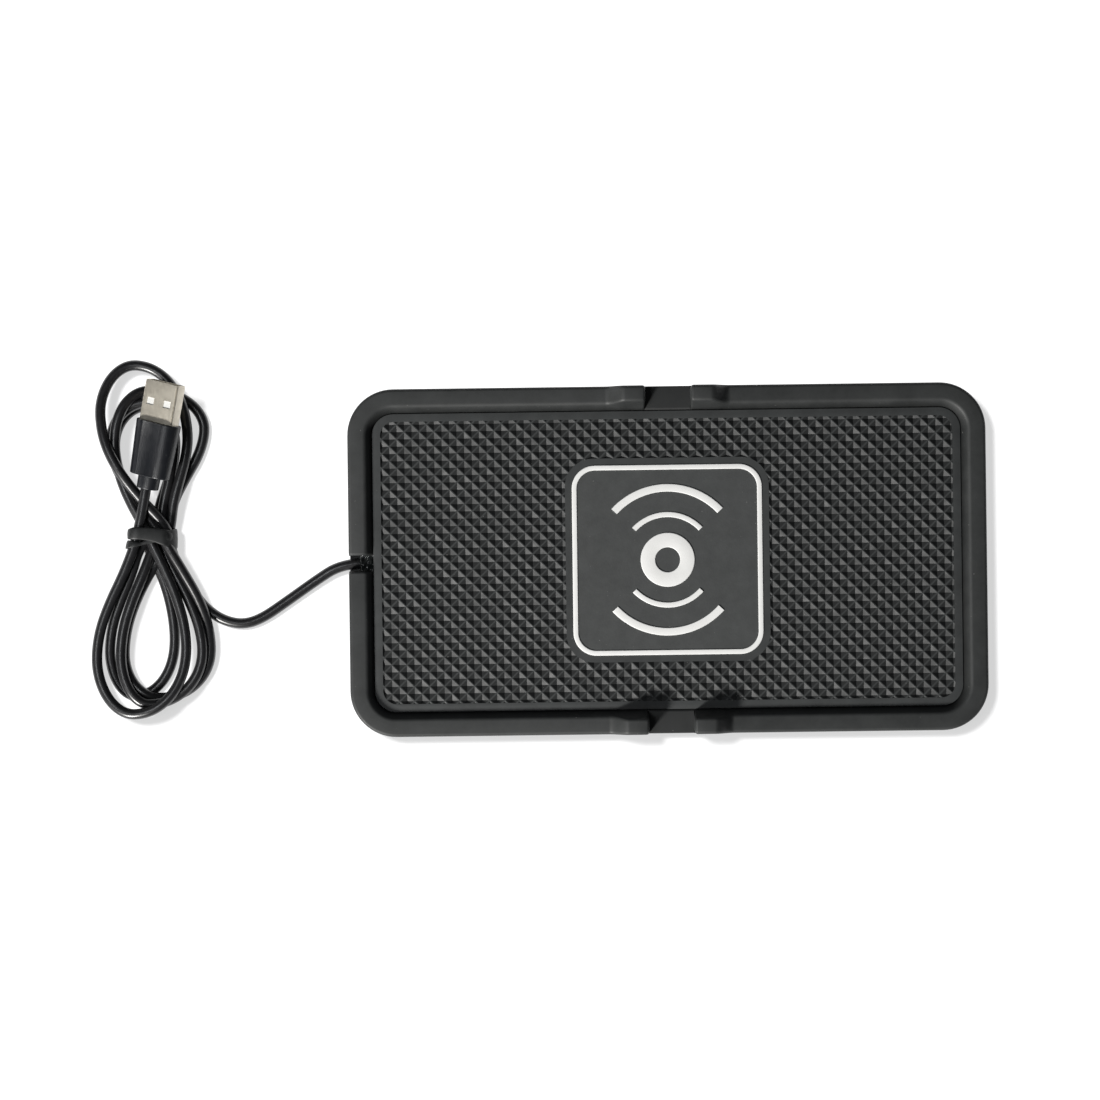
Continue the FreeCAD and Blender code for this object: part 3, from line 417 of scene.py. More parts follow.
def make_studio():
    """A key light on the mat alone, a wash on the floor alone, a weak top light, and a pale floor."""
    key = make_light("key", 230, 31, 1.6, 0.24, 40.0, (1.0, 0.985, 0.96))
    wash = make_light("wash", 145, 62, 1.5, 0.3, 58.0)
    make_light("overhead", 182, 67, 1.5, 0.4, 4.0, (0.96, 0.98, 1.0))
    world = bpy.data.worlds.new("studio")
    world.use_nodes = True
    world.node_tree.nodes["Background"].inputs["Color"].default_value = (0.93, 0.96, 1.0, 1)
    world.node_tree.nodes["Background"].inputs["Strength"].default_value = 0.07
    bpy.context.scene.world = world
    bpy.context.scene.view_settings.view_transform = "Standard"

    paper = bpy.data.materials.new("pale_floor")
    paper.use_nodes = True
    shader = paper.node_tree.nodes["Principled BSDF"]
    shader.inputs["Base Color"].default_value = (0.25, 0.25, 0.25, 1)
    shader.inputs["Roughness"].default_value = 0.9
    shader.inputs["Specular IOR Level"].default_value = 0.0
    shader.inputs["Emission Color"].default_value = (1, 1, 1, 1)
    shader.inputs["Emission Strength"].default_value = 0.63
    reach = 3.0
    mesh = bpy.data.meshes.new("floor")
    level = -0.02 * MM
    mesh.from_pydata([(-reach, -reach, level), (reach, -reach, level), (reach, reach, level),
                      (-reach, reach, level)], [], [(0, 1, 2, 3)])
    mesh.materials.append(paper)
    floor = new_object("floor", mesh)
    for light, state in ((key, "EXCLUDE"), (wash, "INCLUDE")):
        receivers = bpy.data.collections.new(light.name + "_receivers")
        receivers.objects.link(floor)
        receivers.collection_objects[0].light_linking.link_state = state
        light.light_linking.receiver_collection = receivers


# ---------------------------------------------------------------- silicone tray


def rim_profile(top, shrink):
    """(distance in from the outer edge, height) around one section of the rim.

    top is the rim's height there, and shrink draws the part above the deck in, for the
    rounded ends of the stops and of the notch.
    """
    standing = top > DECK + 0.1 * MM
    outer_round = 1.1 * MM if standing else 0.45 * MM
    foot = DECK if standing else top - outer_round
    points = [(4.0 * MM, sheet_high.z), (4.0 * MM, 0.12 * MM), (3.88 * MM, 0), (0.5 * MM, 0),
              (0.15 * MM, 0.12 * MM), (0, 0.45 * MM), (0, min(foot, top - outer_round)), (shrink, foot)]
    for step in range(7):
        angle = math.pi / 2 * step / 6
        points.append((shrink + outer_round * (1 - math.cos(angle)),
                       top - outer_round * (1 - math.sin(angle))))
    inner = RIM_WIDTH - shrink
    if standing:
        slope = RIM_SLOPE + (STOP_SLOPE - RIM_SLOPE) * (top - RIM_TOP) / (STOP_TOP - RIM_TOP)
        knee = Vector((inner - slope, top))
        base = Vector((inner, DECK - 0.3 * MM))
    else:
        knee = Vector((inner - 0.5 * MM, top))
        base = Vector((inner, top - (0.3 * MM if top > FLOOR_TOP + 1 * MM else 0.02 * MM)))
    soft = min(0.9 * MM, (base - knee).length * 0.45)
    start = knee - Vector((soft, 0))
    end = knee + (base - knee).normalized() * soft
    for step in range(7):
        t = step / 6
        spot = start * (1 - t) ** 2 + knee * 2 * t * (1 - t) + end * t ** 2
        points.append((spot.x, spot.y))
    points.append((base.x, base.y))
    points.append((RIM_WIDTH, base.y - 0.05 * MM))
    points.append((RIM_WIDTH, min(FLOOR_TOP + 0.2 * MM, base.y - 0.1 * MM)))
    points.append((RIM_WIDTH + 0.2 * MM, FLOOR_TOP))
    return points


def rounded_end(along, top, direction):
    """Sections of the rounding at an upright end; direction is +1 or -1 along the side."""
    for step in range(6):
        angle = math.pi / 2 * step / 5
        drop = STOP_END_ROUND * (1 - math.cos(angle))
        yield along - direction * STOP_END_ROUND * (1 - math.sin(angle)), top - drop, drop


def stop_side():
    """Sections (x, top, shrink) of a long side, from -X to +X."""
    wall = SLOT_SHIFT - SLOT_WIDTH / 2
    crest = wall - STOP_FLAT
    foot = crest - STOP_RAMP
    left = []
    for step in range(17):
        t = step / 16
        rise = (1 - math.cos(math.pi * t)) / 2
        left.append((foot + STOP_RAMP * t, RIM_TOP + (STOP_TOP - RIM_TOP) * rise, 0.0))
    left.extend(rounded_end(wall, STOP_TOP, 1))
    left.append((wall, DECK, 0.0))
    mirrored = [(2 * SLOT_SHIFT - x, top, shrink) for x, top, shrink in reversed(left)]
    return left + mirrored


def notch_side():
    """Sections (y, top, shrink) of the cable's side, from -Y to +Y."""
    wall = -NOTCH_WIDTH / 2
    lower = list(rounded_end(wall, RIM_TOP, 1))
    lower.append((wall, FLOOR_TOP, 0.0))
    return lower + [(-y, top, shrink) for y, top, shrink in reversed(lower)]


def make_tray():
    """The tray as one skin: rim sections carried round the outline, closed below and inside."""
    reach_x = HALF_LENGTH - MAT_CORNER
    reach_y = HALF_WIDTH - MAT_CORNER
    stations = []

    def corner(turn, sx, sy):
        for step in range(17):
            angle = math.pi / 2 * (turn + step / 16)
            out = Vector((math.cos(angle), math.sin(angle)))
            stations.append((Vector((sx * reach_x, sy * reach_y)) + out * MAT_CORNER, -out, RIM_TOP, 0.0))

    corner(0, 1, 1)
    for x, top, shrink in reversed(stop_side()):
        stations.append((Vector((x, HALF_WIDTH)), Vector((0, -1)), top, shrink))
    corner(1, -1, 1)
    for y, top, shrink in reversed(notch_side()):
        stations.append((Vector((-HALF_LENGTH, y)), Vector((1, 0)), top, shrink))
    corner(2, -1, -1)
    for x, top, shrink in stop_side():
        stations.append((Vector((x, -HALF_WIDTH)), Vector((0, 1)), top, shrink))
    corner(3, 1, -1)

    sections = []
    for edge, inward, top, shrink in stations:
        section = []
        for inset, height in rim_profile(top, shrink):
            spot = edge + inward * inset
            section.append((spot.x, spot.y, height))
        sections.append(section)
    points, faces = loft(sections, closed_rings=False, closed_loft=True)
    count = len(sections[0])
    faces.append(tuple(station * count for station in range(len(sections))))
    faces.append(tuple(station * count + count - 1 for station in range(len(sections))))
    tray = mesh_object("tray", points, faces, SILICONE, sharp=38)
    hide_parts("mat_tray")
    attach(tray, "root")


# ------------------------------------------------------------------- insert


def make_pit_cutter():
    """Inverted pyramids between diagonal ridges, over the textured field only."""
    field_x = insert_high.x - MARGIN
    field_y = insert_high.y - MARGIN
    overshoot = 0.05 * MM
    opening = 1 - math.sqrt(2) * RIDGE / PIT_LENGTH
    points = []
    faces = []
    columns = int(field_x / PIT_LENGTH) + 2
    rows = int(field_y / PIT_WIDTH) + 2
    for column in range(-2 * columns, 2 * columns + 1):
        for row in range(-2 * rows, 2 * rows + 1):
            if (column + row) % 2:
                continue
            x = column * PIT_LENGTH / 2
            y = row * PIT_WIDTH / 2
            if not near_field(x, y, field_x, field_y):
                continue
            grow = opening * (1 + overshoot / PIT_DEPTH)
            start = len(points)
            for dx, dy in ((1, 0), (0, 1), (-1, 0), (0, -1)):
                points.append((x + dx * PIT_LENGTH / 2 * grow, y + dy * PIT_WIDTH / 2 * grow,
                               DECK + overshoot))
            points.append((x, y, DECK - PIT_DEPTH))
            faces.append((start, start + 1, start + 2, start + 3))
            for side in range(4):
                faces.append((start + (side + 1) % 4, start + side, start + 4))
    pits = mesh_object("pits", points, faces, INSERT)
    rings = [[(x, y, height) for x, y in rounded_rectangle(field_x, field_y, FIELD_CORNER)]
             for height in (DECK - 2 * PIT_DEPTH, DECK + 0.1 * MM)]
    field = mesh_object("field", *loft(rings), INSERT)
    rings = [[(x, y, height) for x, y in
              rounded_rectangle(EMBLEM_ZONE, EMBLEM_ZONE, EMBLEM_ZONE_CORNER)]
             for height in (DECK - 3 * PIT_DEPTH, DECK + 1 * MM)]
    boolean(field, mesh_object("zone", *loft(rings), INSERT))
    boolean(pits, field, "INTERSECT")
    return pits


def near_field(x, y, field_x, field_y):
    """Whether a cell can reach the textured field: inside its edge and outside the emblem zone."""
    if abs(x) > field_x + PIT_LENGTH / 2 or abs(y) > field_y + PIT_WIDTH / 2:
        return False
    return max(abs(x) + PIT_LENGTH / 2, abs(y) + PIT_WIDTH / 2) > EMBLEM_ZONE


def make_insert():
    """The top sheet with its housing pocket, emblem window, cable channel and pits."""
    rings = plate_rings(insert_high.x, insert_high.y, INSERT_CORNER, FLOOR_TOP, DECK, 0.3 * MM, 14)
    insert = mesh_object("insert", *loft(rings), INSERT, sharp=20)
    below = FLOOR_TOP - 1 * MM
    fit = 0.1 * MM
    middle = (module_low.x + module_high.x) / 2
    half = (module_high.x - module_low.x) / 2 + fit
    pocket = [[(x + middle, y, height) for x, y in
               rounded_rectangle(half, module_high.y + fit, MODULE_CORNER)]
              for height in (below, module_high.z)]
    boolean(insert, mesh_object("pocket", *loft(pocket), INSERT))
    window = [[(x, y, height) for x, y in
               rounded_rectangle(emblem_high.x, emblem_high.y, EMBLEM_CORNER)]
              for height in (module_high.z - 0.5 * MM, DECK + 1 * MM)]
    boolean(insert, mesh_object("window", *loft(window), INSERT))
    side = CORD_RADIUS + CHANNEL_GAP
    start = -HALF_LENGTH
    end = module_low.x + 1 * MM
    channel = [[(start, -side, height), (end, -side, height), (end, side, height),
                (start, side, height)] for height in (below, module_high.z)]
    boolean(insert, mesh_object("channel", *loft(channel), INSERT))
    boolean(insert, make_pit_cutter())
    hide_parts("pad_insert")
    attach(insert, "root")


# ------------------------------------------------------------------- emblem


def raised_line(path, width, low, high, closed, edge=0.22 * MM):
    """A flat raised line with rounded top edges along a path of (x, y, outward direction)."""
    section = [(-width / 2, low)]
    for step in range(5):
        angle = math.pi / 2 * step / 4
        section.append((-width / 2 + edge * (1 - math.cos(angle)), high - edge * (1 - math.sin(angle))))
    section += [(-across, height) for across, height in reversed(section)]
    rings = [[(x + math.cos(out) * across, y + math.sin(out) * across, height)
              for across, height in section] for x, y, out in path]
    return loft(rings, closed_rings=True, closed_loft=closed, caps=not closed)


def square_path(half, corner, steps=10):
    """Centre line of a rounded square, with outward directions."""
    path = []
    for turn, (sx, sy) in enumerate(((1, 1), (-1, 1), (-1, -1), (1, -1))):
        for step in range(steps + 1):
            out = math.pi / 2 * (turn + step / steps)
            path.append((sx * (half - corner) + corner * math.cos(out),
                         sy * (half - corner) + corner * math.sin(out), out))
    return path


def arc_path(radius, middle, half_angle, steps=32):
    """Centre line of an arc about the emblem's centre."""
    angles = [middle + half_angle * (2 * step / steps - 1) for step in range(steps + 1)]
    return [(radius * math.cos(a), radius * math.sin(a), a) for a in angles]


def make_emblem():
    """The white square line, ring and signal arcs."""
    square = square_path(emblem_high.x - EMBLEM_LINE / 2, EMBLEM_CORNER - EMBLEM_LINE / 2, 12)
    circle = square_path(RING_MIDDLE, RING_MIDDLE, 16)
    parts = {
        "emblem_square": ("emblem_frame", [
            raised_line(square, EMBLEM_LINE, emblem_low.z, emblem_high.z, True)]),
        "emblem_disc": ("emblem_ring", [
            raised_line(circle, RING_LINE, ring_low.z, ring_high.z, True)]),
        "emblem_short_arcs": ("emblem_inner_arcs", [
            raised_line(arc_path(short_high.y - SHORT_ARC_LINE / 2, side * math.pi / 2, ARC_HALF_ANGLE),
                        SHORT_ARC_LINE, short_low.z, short_high.z, False) for side in (1, -1)]),
        "emblem_long_arcs": ("emblem_outer_arcs", [
            raised_line(arc_path(long_high.y - LONG_ARC_LINE / 2, side * math.pi / 2, ARC_HALF_ANGLE),
                        LONG_ARC_LINE, long_low.z, long_high.z, False) for side in (1, -1)]),
    }
    for name, (replaced, shapes) in parts.items():
        points = []
        faces = []
        for more_points, more_faces in shapes:
            offset = len(points)
            points += more_points
            faces += [tuple(index + offset for index in face) for face in more_faces]
        mark = mesh_object(name, points, faces, WHITE, sharp=40)
        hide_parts(replaced)
        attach(mark, "root")


# -------------------------------------------------------------------- cable

# The cable where it lies free: from the notch to the hank, and from the tie to the plug's neck.
LEAD_ROUTE = [
    (-0.0980, 0.0000, 0.00305),
    (-0.1035, -0.0006, 0.00300),
    (-0.1105, -0.0050, 0.00200),
    (-0.1200, -0.0116, 0.00170),
    (-0.1280, -0.0170, 0.00170),
    (-0.1342, -0.0188, 0.00170),
    (-0.1406, -0.0172, 0.00170),
    (-0.1461, -0.0132, 0.00170),
    (-0.1508, -0.0064, 0.00180),
    (-0.1552, 0.0008, 0.00240),
]
TAIL_ROUTE = [
    (-0.1642, 0.0176, 0.00930),
    (-0.1629, 0.02420, 0.00995),
]
TIE = Vector((-161.5 * MM, 9.5 * MM, 0))
TIE_HALF = 3.2

# The hank's loops in the order the cable runs through them, in millimetres from the tie:
# widest point on the left, tip, widest point on the right, which of the two comes first, and
# how high the loop lies in the pile. Each widest point also says how late its leg bows out.
LOOPS = [
    ((-16.0, 38.5, 0.9), (-5.0, 54.0), (11.2, 31.6, 2.2), "left", 3),
    ((-10.2, -36.9, 1.0), (1.4, -51.4), (17.2, -36.4, 1.1), "left", 1),
    ((-13.0, 29.6, 1.0), (-0.9, 42.4), (7.2, 30.0, 1.5), "left", 1),
    ((-14.5, -35.9, 1.5), (-6.2, -50.6), (6.1, -33.4, 0.8), "left", 0),
    ((-12.4, 29.0, 1.0), (-1.8, 41.4), (7.0, 28.6, 1.8), "left", 0),
    ((-10.6, -36.9, 1.3), (-1.4, -52.9), (16.0, -35.4, 1.1), "left", 2),
    ((-11.5, 29.6, 1.0), (-0.5, 45.8), (16.6, 33.1, 2.3), "right", 2),
    ((-18.4, -38.3, 1.3), (-6.4, -56.1), (10.5, -36.0, 1.0), "right", 3),
]
# Each pass through the tie: (across, height) at its lower and at its upper edge.
PASSES = [
    ((4.8, 2.6), (4.0, 8.0)),
    ((3.2, 2.8), (5.0, 5.0)),
    ((4.8, 8.2), (1.0, 5.6)),
    ((-4.0, 4.8), (2.9, 2.8)),
    ((-2.2, 2.6), (-1.6, 5.4)),
    ((-0.2, 5.4), (0.4, 2.6)),
    ((3.0, 5.4), (5.2, 2.8)),
    ((0.5, 8.4), (-2.4, 3.4)),
    ((-5.3, 6.8), (-3.6, 8.5)),
]


def loop_leg(start, widest):
    """Points (across, along, share of the way) from the tie's edge out to a loop's widest point."""
    first = math.copysign(TIE_HALF, widest[1])
    leg = []
    for step in range(1, 4):
        t = step / 4
        bow = math.sin(math.pi / 2 * t) ** widest[2]
        leg.append((start + (widest[0] - start) * bow,
                    first + (widest[1] - first) * t, min(1, step / 3)))
    return leg


def loop_crown(near, tip, far):
    """Points from one widest point of a loop over its tip to the other."""
    crown = []
    for step in range(9):
        angle = math.pi * step / 8
        side = near if step <= 4 else far
        crown.append((tip[0] + (side[0] - tip[0]) * abs(math.cos(angle)),
                      side[1] + (tip[1] - side[1]) * math.sin(angle)))
    return crown


def hank_route():
    """The cable's control points before it settles, each one's rank in the pile, and the tied ones."""
    route = [Vector(point) for point in LEAD_ROUTE]
    ranks = [0] * len(route)
    tied = []

    def add(across, along, height, rank, in_tie=False):
        if in_tie:
            tied.append(len(route))
        route.append(Vector((TIE.x + across * MM, TIE.y + along * MM, height * MM)))
        ranks.append(rank)

    add(PASSES[0][0][0], -TIE_HALF, PASSES[0][0][1], 0, True)
    for (left, tip, right, first, rank), arrival, departure in zip(LOOPS, PASSES, PASSES[1:]):
        upper = tip[1] > 0
        near, far = (left, right) if first == "left" else (right, left)
        level = CORD_RADIUS / MM + 0.3 + 1.6 * rank
        start, entry_height = arrival[1 if upper else 0]
        stop, exit_height = departure[1 if upper else 0]
        edge = TIE_HALF if upper else -TIE_HALF
        add(start, edge, entry_height, rank, True)
        for across, along, share in loop_leg(start, near):
            add(across, along, entry_height * (1 - share) + level * share, rank)
        for across, along in loop_crown(near, tip, far):
            add(across, along, level, rank)
        for across, along, share in reversed(loop_leg(stop, far)):
            add(across, along, exit_height * (1 - share) + level * share, rank)
        add(stop, edge, exit_height, rank, True)
    add(PASSES[-1][1][0], TIE_HALF, PASSES[-1][1][1], 4, True)
    route.extend(Vector(point) for point in TAIL_ROUTE)
    ranks.extend([4] * len(TAIL_ROUTE))
    return np.array(route), np.array(ranks, float), np.array(tied)


def spline_weights(count, per_span):
    """Matrix from a clamped quadratic spline's control points to points along it."""
    corners = np.eye(count)
    middles = (corners[:-1] + corners[1:]) / 2
    rows = [corners[0]]
    start = corners[0]
    for index in range(1, count - 1):
        end = middles[index] if index < count - 2 else corners[-1]
        for step in range(1, per_span + 1):
            t = step / per_span
            rows.append((1 - t) ** 2 * start + 2 * t * (1 - t) * corners[index] + t * t * end)
        start = end
    return np.array(rows)


# The plug's own frame: origin at the grip's cable end, X along the plug, Z out of its upper face.
PLUG_PLACE = (Matrix.Translation((-161.6 * MM, 28.2 * MM, 10.5 * MM))
              @ Matrix.Rotation(math.radians(90 - 11.7), 4, "Z")
              @ Matrix.Rotation(math.radians(-7.7), 4, "Y")
              @ Matrix.Rotation(math.radians(-23.7), 4, "X"))
NECK_LENGTH = 4.0 * MM
GRIP_LENGTH = 17.2 * MM
GRIP_WIDTH = 14.8 * MM
GRIP_THICKNESS = 7.8 * MM
SHELL_LENGTH = 12.6 * MM
SHELL_WIDTH = 12.0 * MM
SHELL_THICKNESS = 4.5 * MM
SHELL_WALL = 0.3 * MM
LATCH_START = GRIP_LENGTH + 4.975 * MM
LATCH_OFFSET = 3.05 * MM
LATCH_LENGTH = 2.25 * MM
LATCH_WIDTH = 2.6 * MM
SEAM_OFFSET = -5.68 * MM
SEAM_WIDTH = 0.2 * MM


def push_apart(spots, along, ranks):
    """Moves that lift touching lengths of cable off each other, the higher rank on top."""
    gaps = spots[:, None] - spots[None]
    distance = np.linalg.norm(gaps, axis=2)
    touching = (distance < CORD_DIAMETER) & (np.abs(along[:, None] - along[None]) > 2.2 * CORD_DIAMETER)
    first, second = np.nonzero(touching)
    direction = gaps[first, second] * (0.4, 0.4, 1.0)
    level = np.abs(direction[:, 2]) < 0.3 * MM
    order = ranks * 1000 + np.arange(len(ranks))
    above = order[first[level]] > order[second[level]]
    direction[level, 2] += np.where(above, 0.6, -0.6) * MM
    direction /= np.linalg.norm(direction, axis=1, keepdims=True)
    push = np.zeros_like(spots)
    np.add.at(push, first, direction * ((CORD_DIAMETER - distance[first, second]) / 2)[:, None])
    shares = np.zeros(len(spots))
    np.add.at(shares, first, 1)
    return push / np.maximum(shares, 1)[:, None]


def push_under_plug(spots):
    """Moves that keep the cable below the plug."""
    turn = np.array(PLUG_PLACE.to_3x3())
    inside = (spots - np.array(PLUG_PLACE.translation)) @ turn
    push = np.zeros_like(spots)
    for start, end, width, thickness in (
            (-0.5 * MM, GRIP_LENGTH, GRIP_WIDTH, GRIP_THICKNESS),
            (GRIP_LENGTH, GRIP_LENGTH + SHELL_LENGTH, SHELL_WIDTH, SHELL_THICKNESS)):
        clear = thickness / 2 + CORD_RADIUS
        hit = ((inside[:, 0] > start - 1 * MM) & (inside[:, 0] < end + 1 * MM)
               & (np.abs(inside[:, 1]) < width / 2 + 0.4 * CORD_RADIUS)
               & (np.abs(inside[:, 2]) < clear))
        depth = np.minimum(inside[hit, 2] + clear, 1.2 * MM)
        push[hit] -= 0.7 * depth[:, None] * turn[:, 2]
    push[-12:] = 0
    return push


def settle(route, ranks, tied, rounds=300):
    """Let the hank sag on the table and on itself; its plan stays near where it was laid."""
    weights = spline_weights(len(route), 4)
    total = np.maximum(weights.sum(axis=0), 1e-6)[:, None]
    fixed = np.zeros(len(route), bool)
    fixed[:len(LEAD_ROUTE) - 1] = True
    fixed[-2:] = True
    laid = route.copy()
    route = route.copy()
    for turn in range(rounds):
        spots = weights @ route
        along = np.concatenate([[0], np.cumsum(np.linalg.norm(np.diff(spots, axis=0), axis=1))])
        push = push_apart(spots, along, weights @ ranks) + push_under_plug(spots)
        push[:, 2] += np.maximum(CORD_RADIUS - spots[:, 2], 0)
        moved = route + 1.2 * (weights.T @ push) / total
        if turn < 0.8 * rounds:
            moved[:, 2] -= 0.035 * MM
        drift = moved - laid
        drift[1:-1] = 0.7 * drift[1:-1] + 0.15 * (drift[:-2] + drift[2:])
        moved[:, :2] = laid[:, :2] + 0.97 * drift[:, :2]
        moved[1:-1, 2] = 0.86 * moved[1:-1, 2] + 0.07 * (moved[:-2, 2] + moved[2:, 2])
        moved[:, 2] = np.maximum(moved[:, 2], CORD_RADIUS)
        moved[tied, 0] = laid[tied, 0] + np.clip(moved[tied, 0] - laid[tied, 0], -0.5 * MM, 0.5 * MM)
        moved[tied, 1] = laid[tied, 1]
        moved[tied, 2] = np.clip(moved[tied, 2], 2.6 * MM, 8.7 * MM)
        moved[fixed] = laid[fixed]
        route = moved
    return route


def make_cord(route):
    """The whole free cable as one smooth spline."""
    curve = bpy.data.curves.new("cord", "CURVE")
    curve.dimensions = "3D"
    curve.bevel_depth = CORD_RADIUS
    curve.bevel_resolution = 7
    curve.resolution_u = 6
    curve.use_fill_caps = True
    spline = curve.splines.new("NURBS")
    spline.points.add(len(route) - 1)
    for point, spot in zip(spline.points, route):
        point.co = (*spot, 1)
    spline.order_u = 3
    spline.use_endpoint_u = True
    curve.materials.append(JACKET)
    cord = new_object("cord", curve)
    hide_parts("cord_lead", "cord_hank", "cord_tail")
    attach(cord, "root")
    return cord


# ---------------------------------------------------------------------- tie


def wrap_path(spots, across, clearance, count=96):
    """The line of a tight wrap round the strands that cross one slice, as (x, z) points."""
    near = spots[np.abs(spots[:, 1] - TIE.y - across) < 1.2 * MM]
    line = []
    for step in range(720):
        angle = 2 * math.pi * step / 720
        out = np.array((math.cos(angle), math.sin(angle)))
        centre = near[np.argmax(near[:, [0, 2]] @ out)][[0, 2]]
        line.append(centre + out * (CORD_RADIUS + clearance))
    line = np.array(line)
    following = np.roll(line, -1, axis=0)
    steps = np.linalg.norm(following - line, axis=1)
    reach = np.concatenate([[0], np.cumsum(steps)])
    closed = np.vstack([line, line[:1]])
    marks = np.linspace(0, reach[-1], count, endpoint=False)
    path = np.array([np.interp(marks, reach, closed[:, axis]) for axis in (0, 1)]).T
    for _ in range(3):
        path = 0.5 * path + 0.25 * (np.roll(path, 1, axis=0) + np.roll(path, -1, axis=0))
    return path


def make_wrap(name, path, edges, thickness, slack, curl):
    """A flat rubber ribbon round the hank.

    edges lists (across, lower edge, upper edge) in millimetres from the tie's centre; slack
    is how far the ribbon stands off at the left, and curl how far its lower edge lifts there.
    """
    table = np.array(edges)
    ahead = np.roll(path, -1, axis=0) - np.roll(path, 1, axis=0)
    ahead /= np.linalg.norm(ahead, axis=1, keepdims=True)
    top = path[:, 1].max()
    rings = []
    for (x, z), (tx, tz) in zip(path, ahead):
        out = Vector((tz, 0, -tx))
        across = (x - TIE.x) / MM
        below, above = (np.interp(across, table[:, 0], table[:, column]) for column in (1, 2))
        half = (above - below) / 2 * MM
        middle = (above + below) / 2 * MM
        loose = float(np.interp(across, (-8.0, -3.0), (1, 0))) * min(1.0, z / top)
        ring = []
        for step in range(16):
            angle = 2 * math.pi * step / 16
            along = half * np.sign(math.cos(angle)) * abs(math.cos(angle)) ** 0.35
            rise = thickness / 2 * np.sign(math.sin(angle)) * abs(math.sin(angle)) ** 0.6
            lift = loose * (slack - curl * along / half) - 0.12 * MM * (along / half) ** 2
            spot = Vector((x, TIE.y + middle + along, z)) + out * (thickness / 2 + rise + lift)
            spot.z = max(spot.z, 0.02 * MM)
            ring.append(tuple(spot))
        rings.append(ring)
    return mesh_object(name, *loft(rings, closed_loft=True), BAND, sharp=60)


# Each turn of the band: (across, lower edge, upper edge) in millimetres from the tie's centre.
LEVEL_TURN = [(-7.6, -1.0, 1.9), (-5.6, -1.05, 2.75), (-3.2, -1.15, 2.75), (-0.6, -1.6, 2.7),
              (1.6, -2.2, 2.4), (3.5, -3.0, 2.2), (5.3, -3.7, 1.7), (6.5, -4.1, 2.1),
              (8.2, -4.4, 2.35)]
CROSSING_TURN = [(-8.8, -2.6, -1.0), (-7.9, -4.3, -1.1), (-6.0, -3.7, -1.4), (-3.4, -3.05, -1.95),
                 (-1.6, -2.6, -1.3), (0.5, -2.2, -0.4), (4.0, -1.6, 0.8), (8.2, -1.4, 1.2)]


def make_tie(spots):
    """Two turns of a flat band: a level one, and a looser one that crosses under it."""
    level = make_wrap("tie_level_turn", wrap_path(spots, 0.0, 0.3 * MM), LEVEL_TURN,
                      0.75 * MM, 0.1 * MM, 0.1 * MM)
    crossing = make_wrap("tie_crossing_turn", wrap_path(spots, -1.5 * MM, 0.05 * MM), CROSSING_TURN,
                         0.7 * MM, 0.7 * MM, 0.5 * MM)
    for turn in (level, crossing):
        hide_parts("hank_tie")
        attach(turn, "root")
    return [level, crossing]


# --------------------------------------------------------------------- plug


def stadium(half_width, thickness, panel_drop=0.0, steps=10):
    """Section points (y, z) of a flat-faced bar with round sides and slightly sunk flat faces."""
    radius = thickness / 2
    flat = half_width - radius
    lip_end = flat - 0.10 * MM
    panel_edge = flat - 0.22 * MM
    points = []
    for side in (1, -1):
        for step in range(steps + 1):
            angle = -math.pi / 2 + math.pi * step / steps
            points.append((side * (flat + radius * math.cos(angle)), side * radius * math.sin(angle)))
        lip = side * radius
        points.append((side * lip_end, lip))
        points.append((side * panel_edge, lip - side * panel_drop))
        points.append((-side * panel_edge, lip - side * panel_drop))
        points.append((-side * lip_end, lip))
    return points


def plug_rings(stations):
    """Rings of (x, half width, thickness, panel drop) stations in the plug's frame."""
    return [[tuple(PLUG_PLACE @ Vector((x, y, z))) for y, z in stadium(half, thick, drop)]
            for x, half, thick, drop in stations]


def make_grip():
    """The moulded grip, narrower at its cable end, with its neck."""
    front = (7.5 * MM, 8.1 * MM)
    back = (6.75 * MM, 7.2 * MM)
    edge = 0.35 * MM
    drop = 0.09 * MM
    stations = []
    for end, (half, thick), inward in ((0, back, 1), (GRIP_LENGTH, front, -1)):
        rounding = []
        for step in range(5):
            angle = math.pi / 2 * step / 4
            inset = edge * (1 - math.sin(angle))
            rounding.append((end + inward * edge * (1 - math.cos(angle)), half - inset,
                             thick - 2 * inset, drop if step > 3 else 0.0))
        stations.extend(rounding[::inward])
    grip = mesh_object("plug_grip", *loft(plug_rings(stations)), PLUG, sharp=30)
    neck_half = 3.6 * MM
    neck_thick = 6.6 * MM
    neck_edge = 0.3 * MM
    taper = 0.12 * MM
    stations = []
    for step in range(5):
        angle = math.pi / 2 * step / 4
        inset = neck_edge * (1 - math.sin(angle))
        stations.append((-NECK_LENGTH + neck_edge * (1 - math.cos(angle)), neck_half - taper - inset,
                         neck_thick - 2 * taper - 2 * inset, 0.0))
    stations.append((0.6 * MM, neck_half, neck_thick, 0.0))
    neck = mesh_object("plug_neck", *loft(plug_rings(stations)), PLUG, sharp=30)
    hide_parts("usb_overmould")
    for piece in (grip, neck):
        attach(piece, "root")
    return [grip, neck]


def shell_ring(x, inset, corner):
    """One ring of the shell at `x`, drawn in from its outer size."""
    outline = rounded_rectangle(SHELL_WIDTH / 2 - inset, SHELL_THICKNESS / 2 - inset, corner, 5)
    return [tuple(PLUG_PLACE @ Vector((x, y, z))) for y, z in outline]


def plug_block(name, x, y, z, length, width, height):
    """A box in the plug's frame, centred on (y, z), as a cutter."""
    corners = []
    for dx in (0, length):
        for dy, dz in ((-1, -1), (1, -1), (1, 1), (-1, 1)):
            corners.append(tuple(PLUG_PLACE @ Vector((x + dx, y + dy * width / 2, z + dz * height / 2))))
    return mesh_object(name, *loft([corners[:4], corners[4:]]), STEEL)


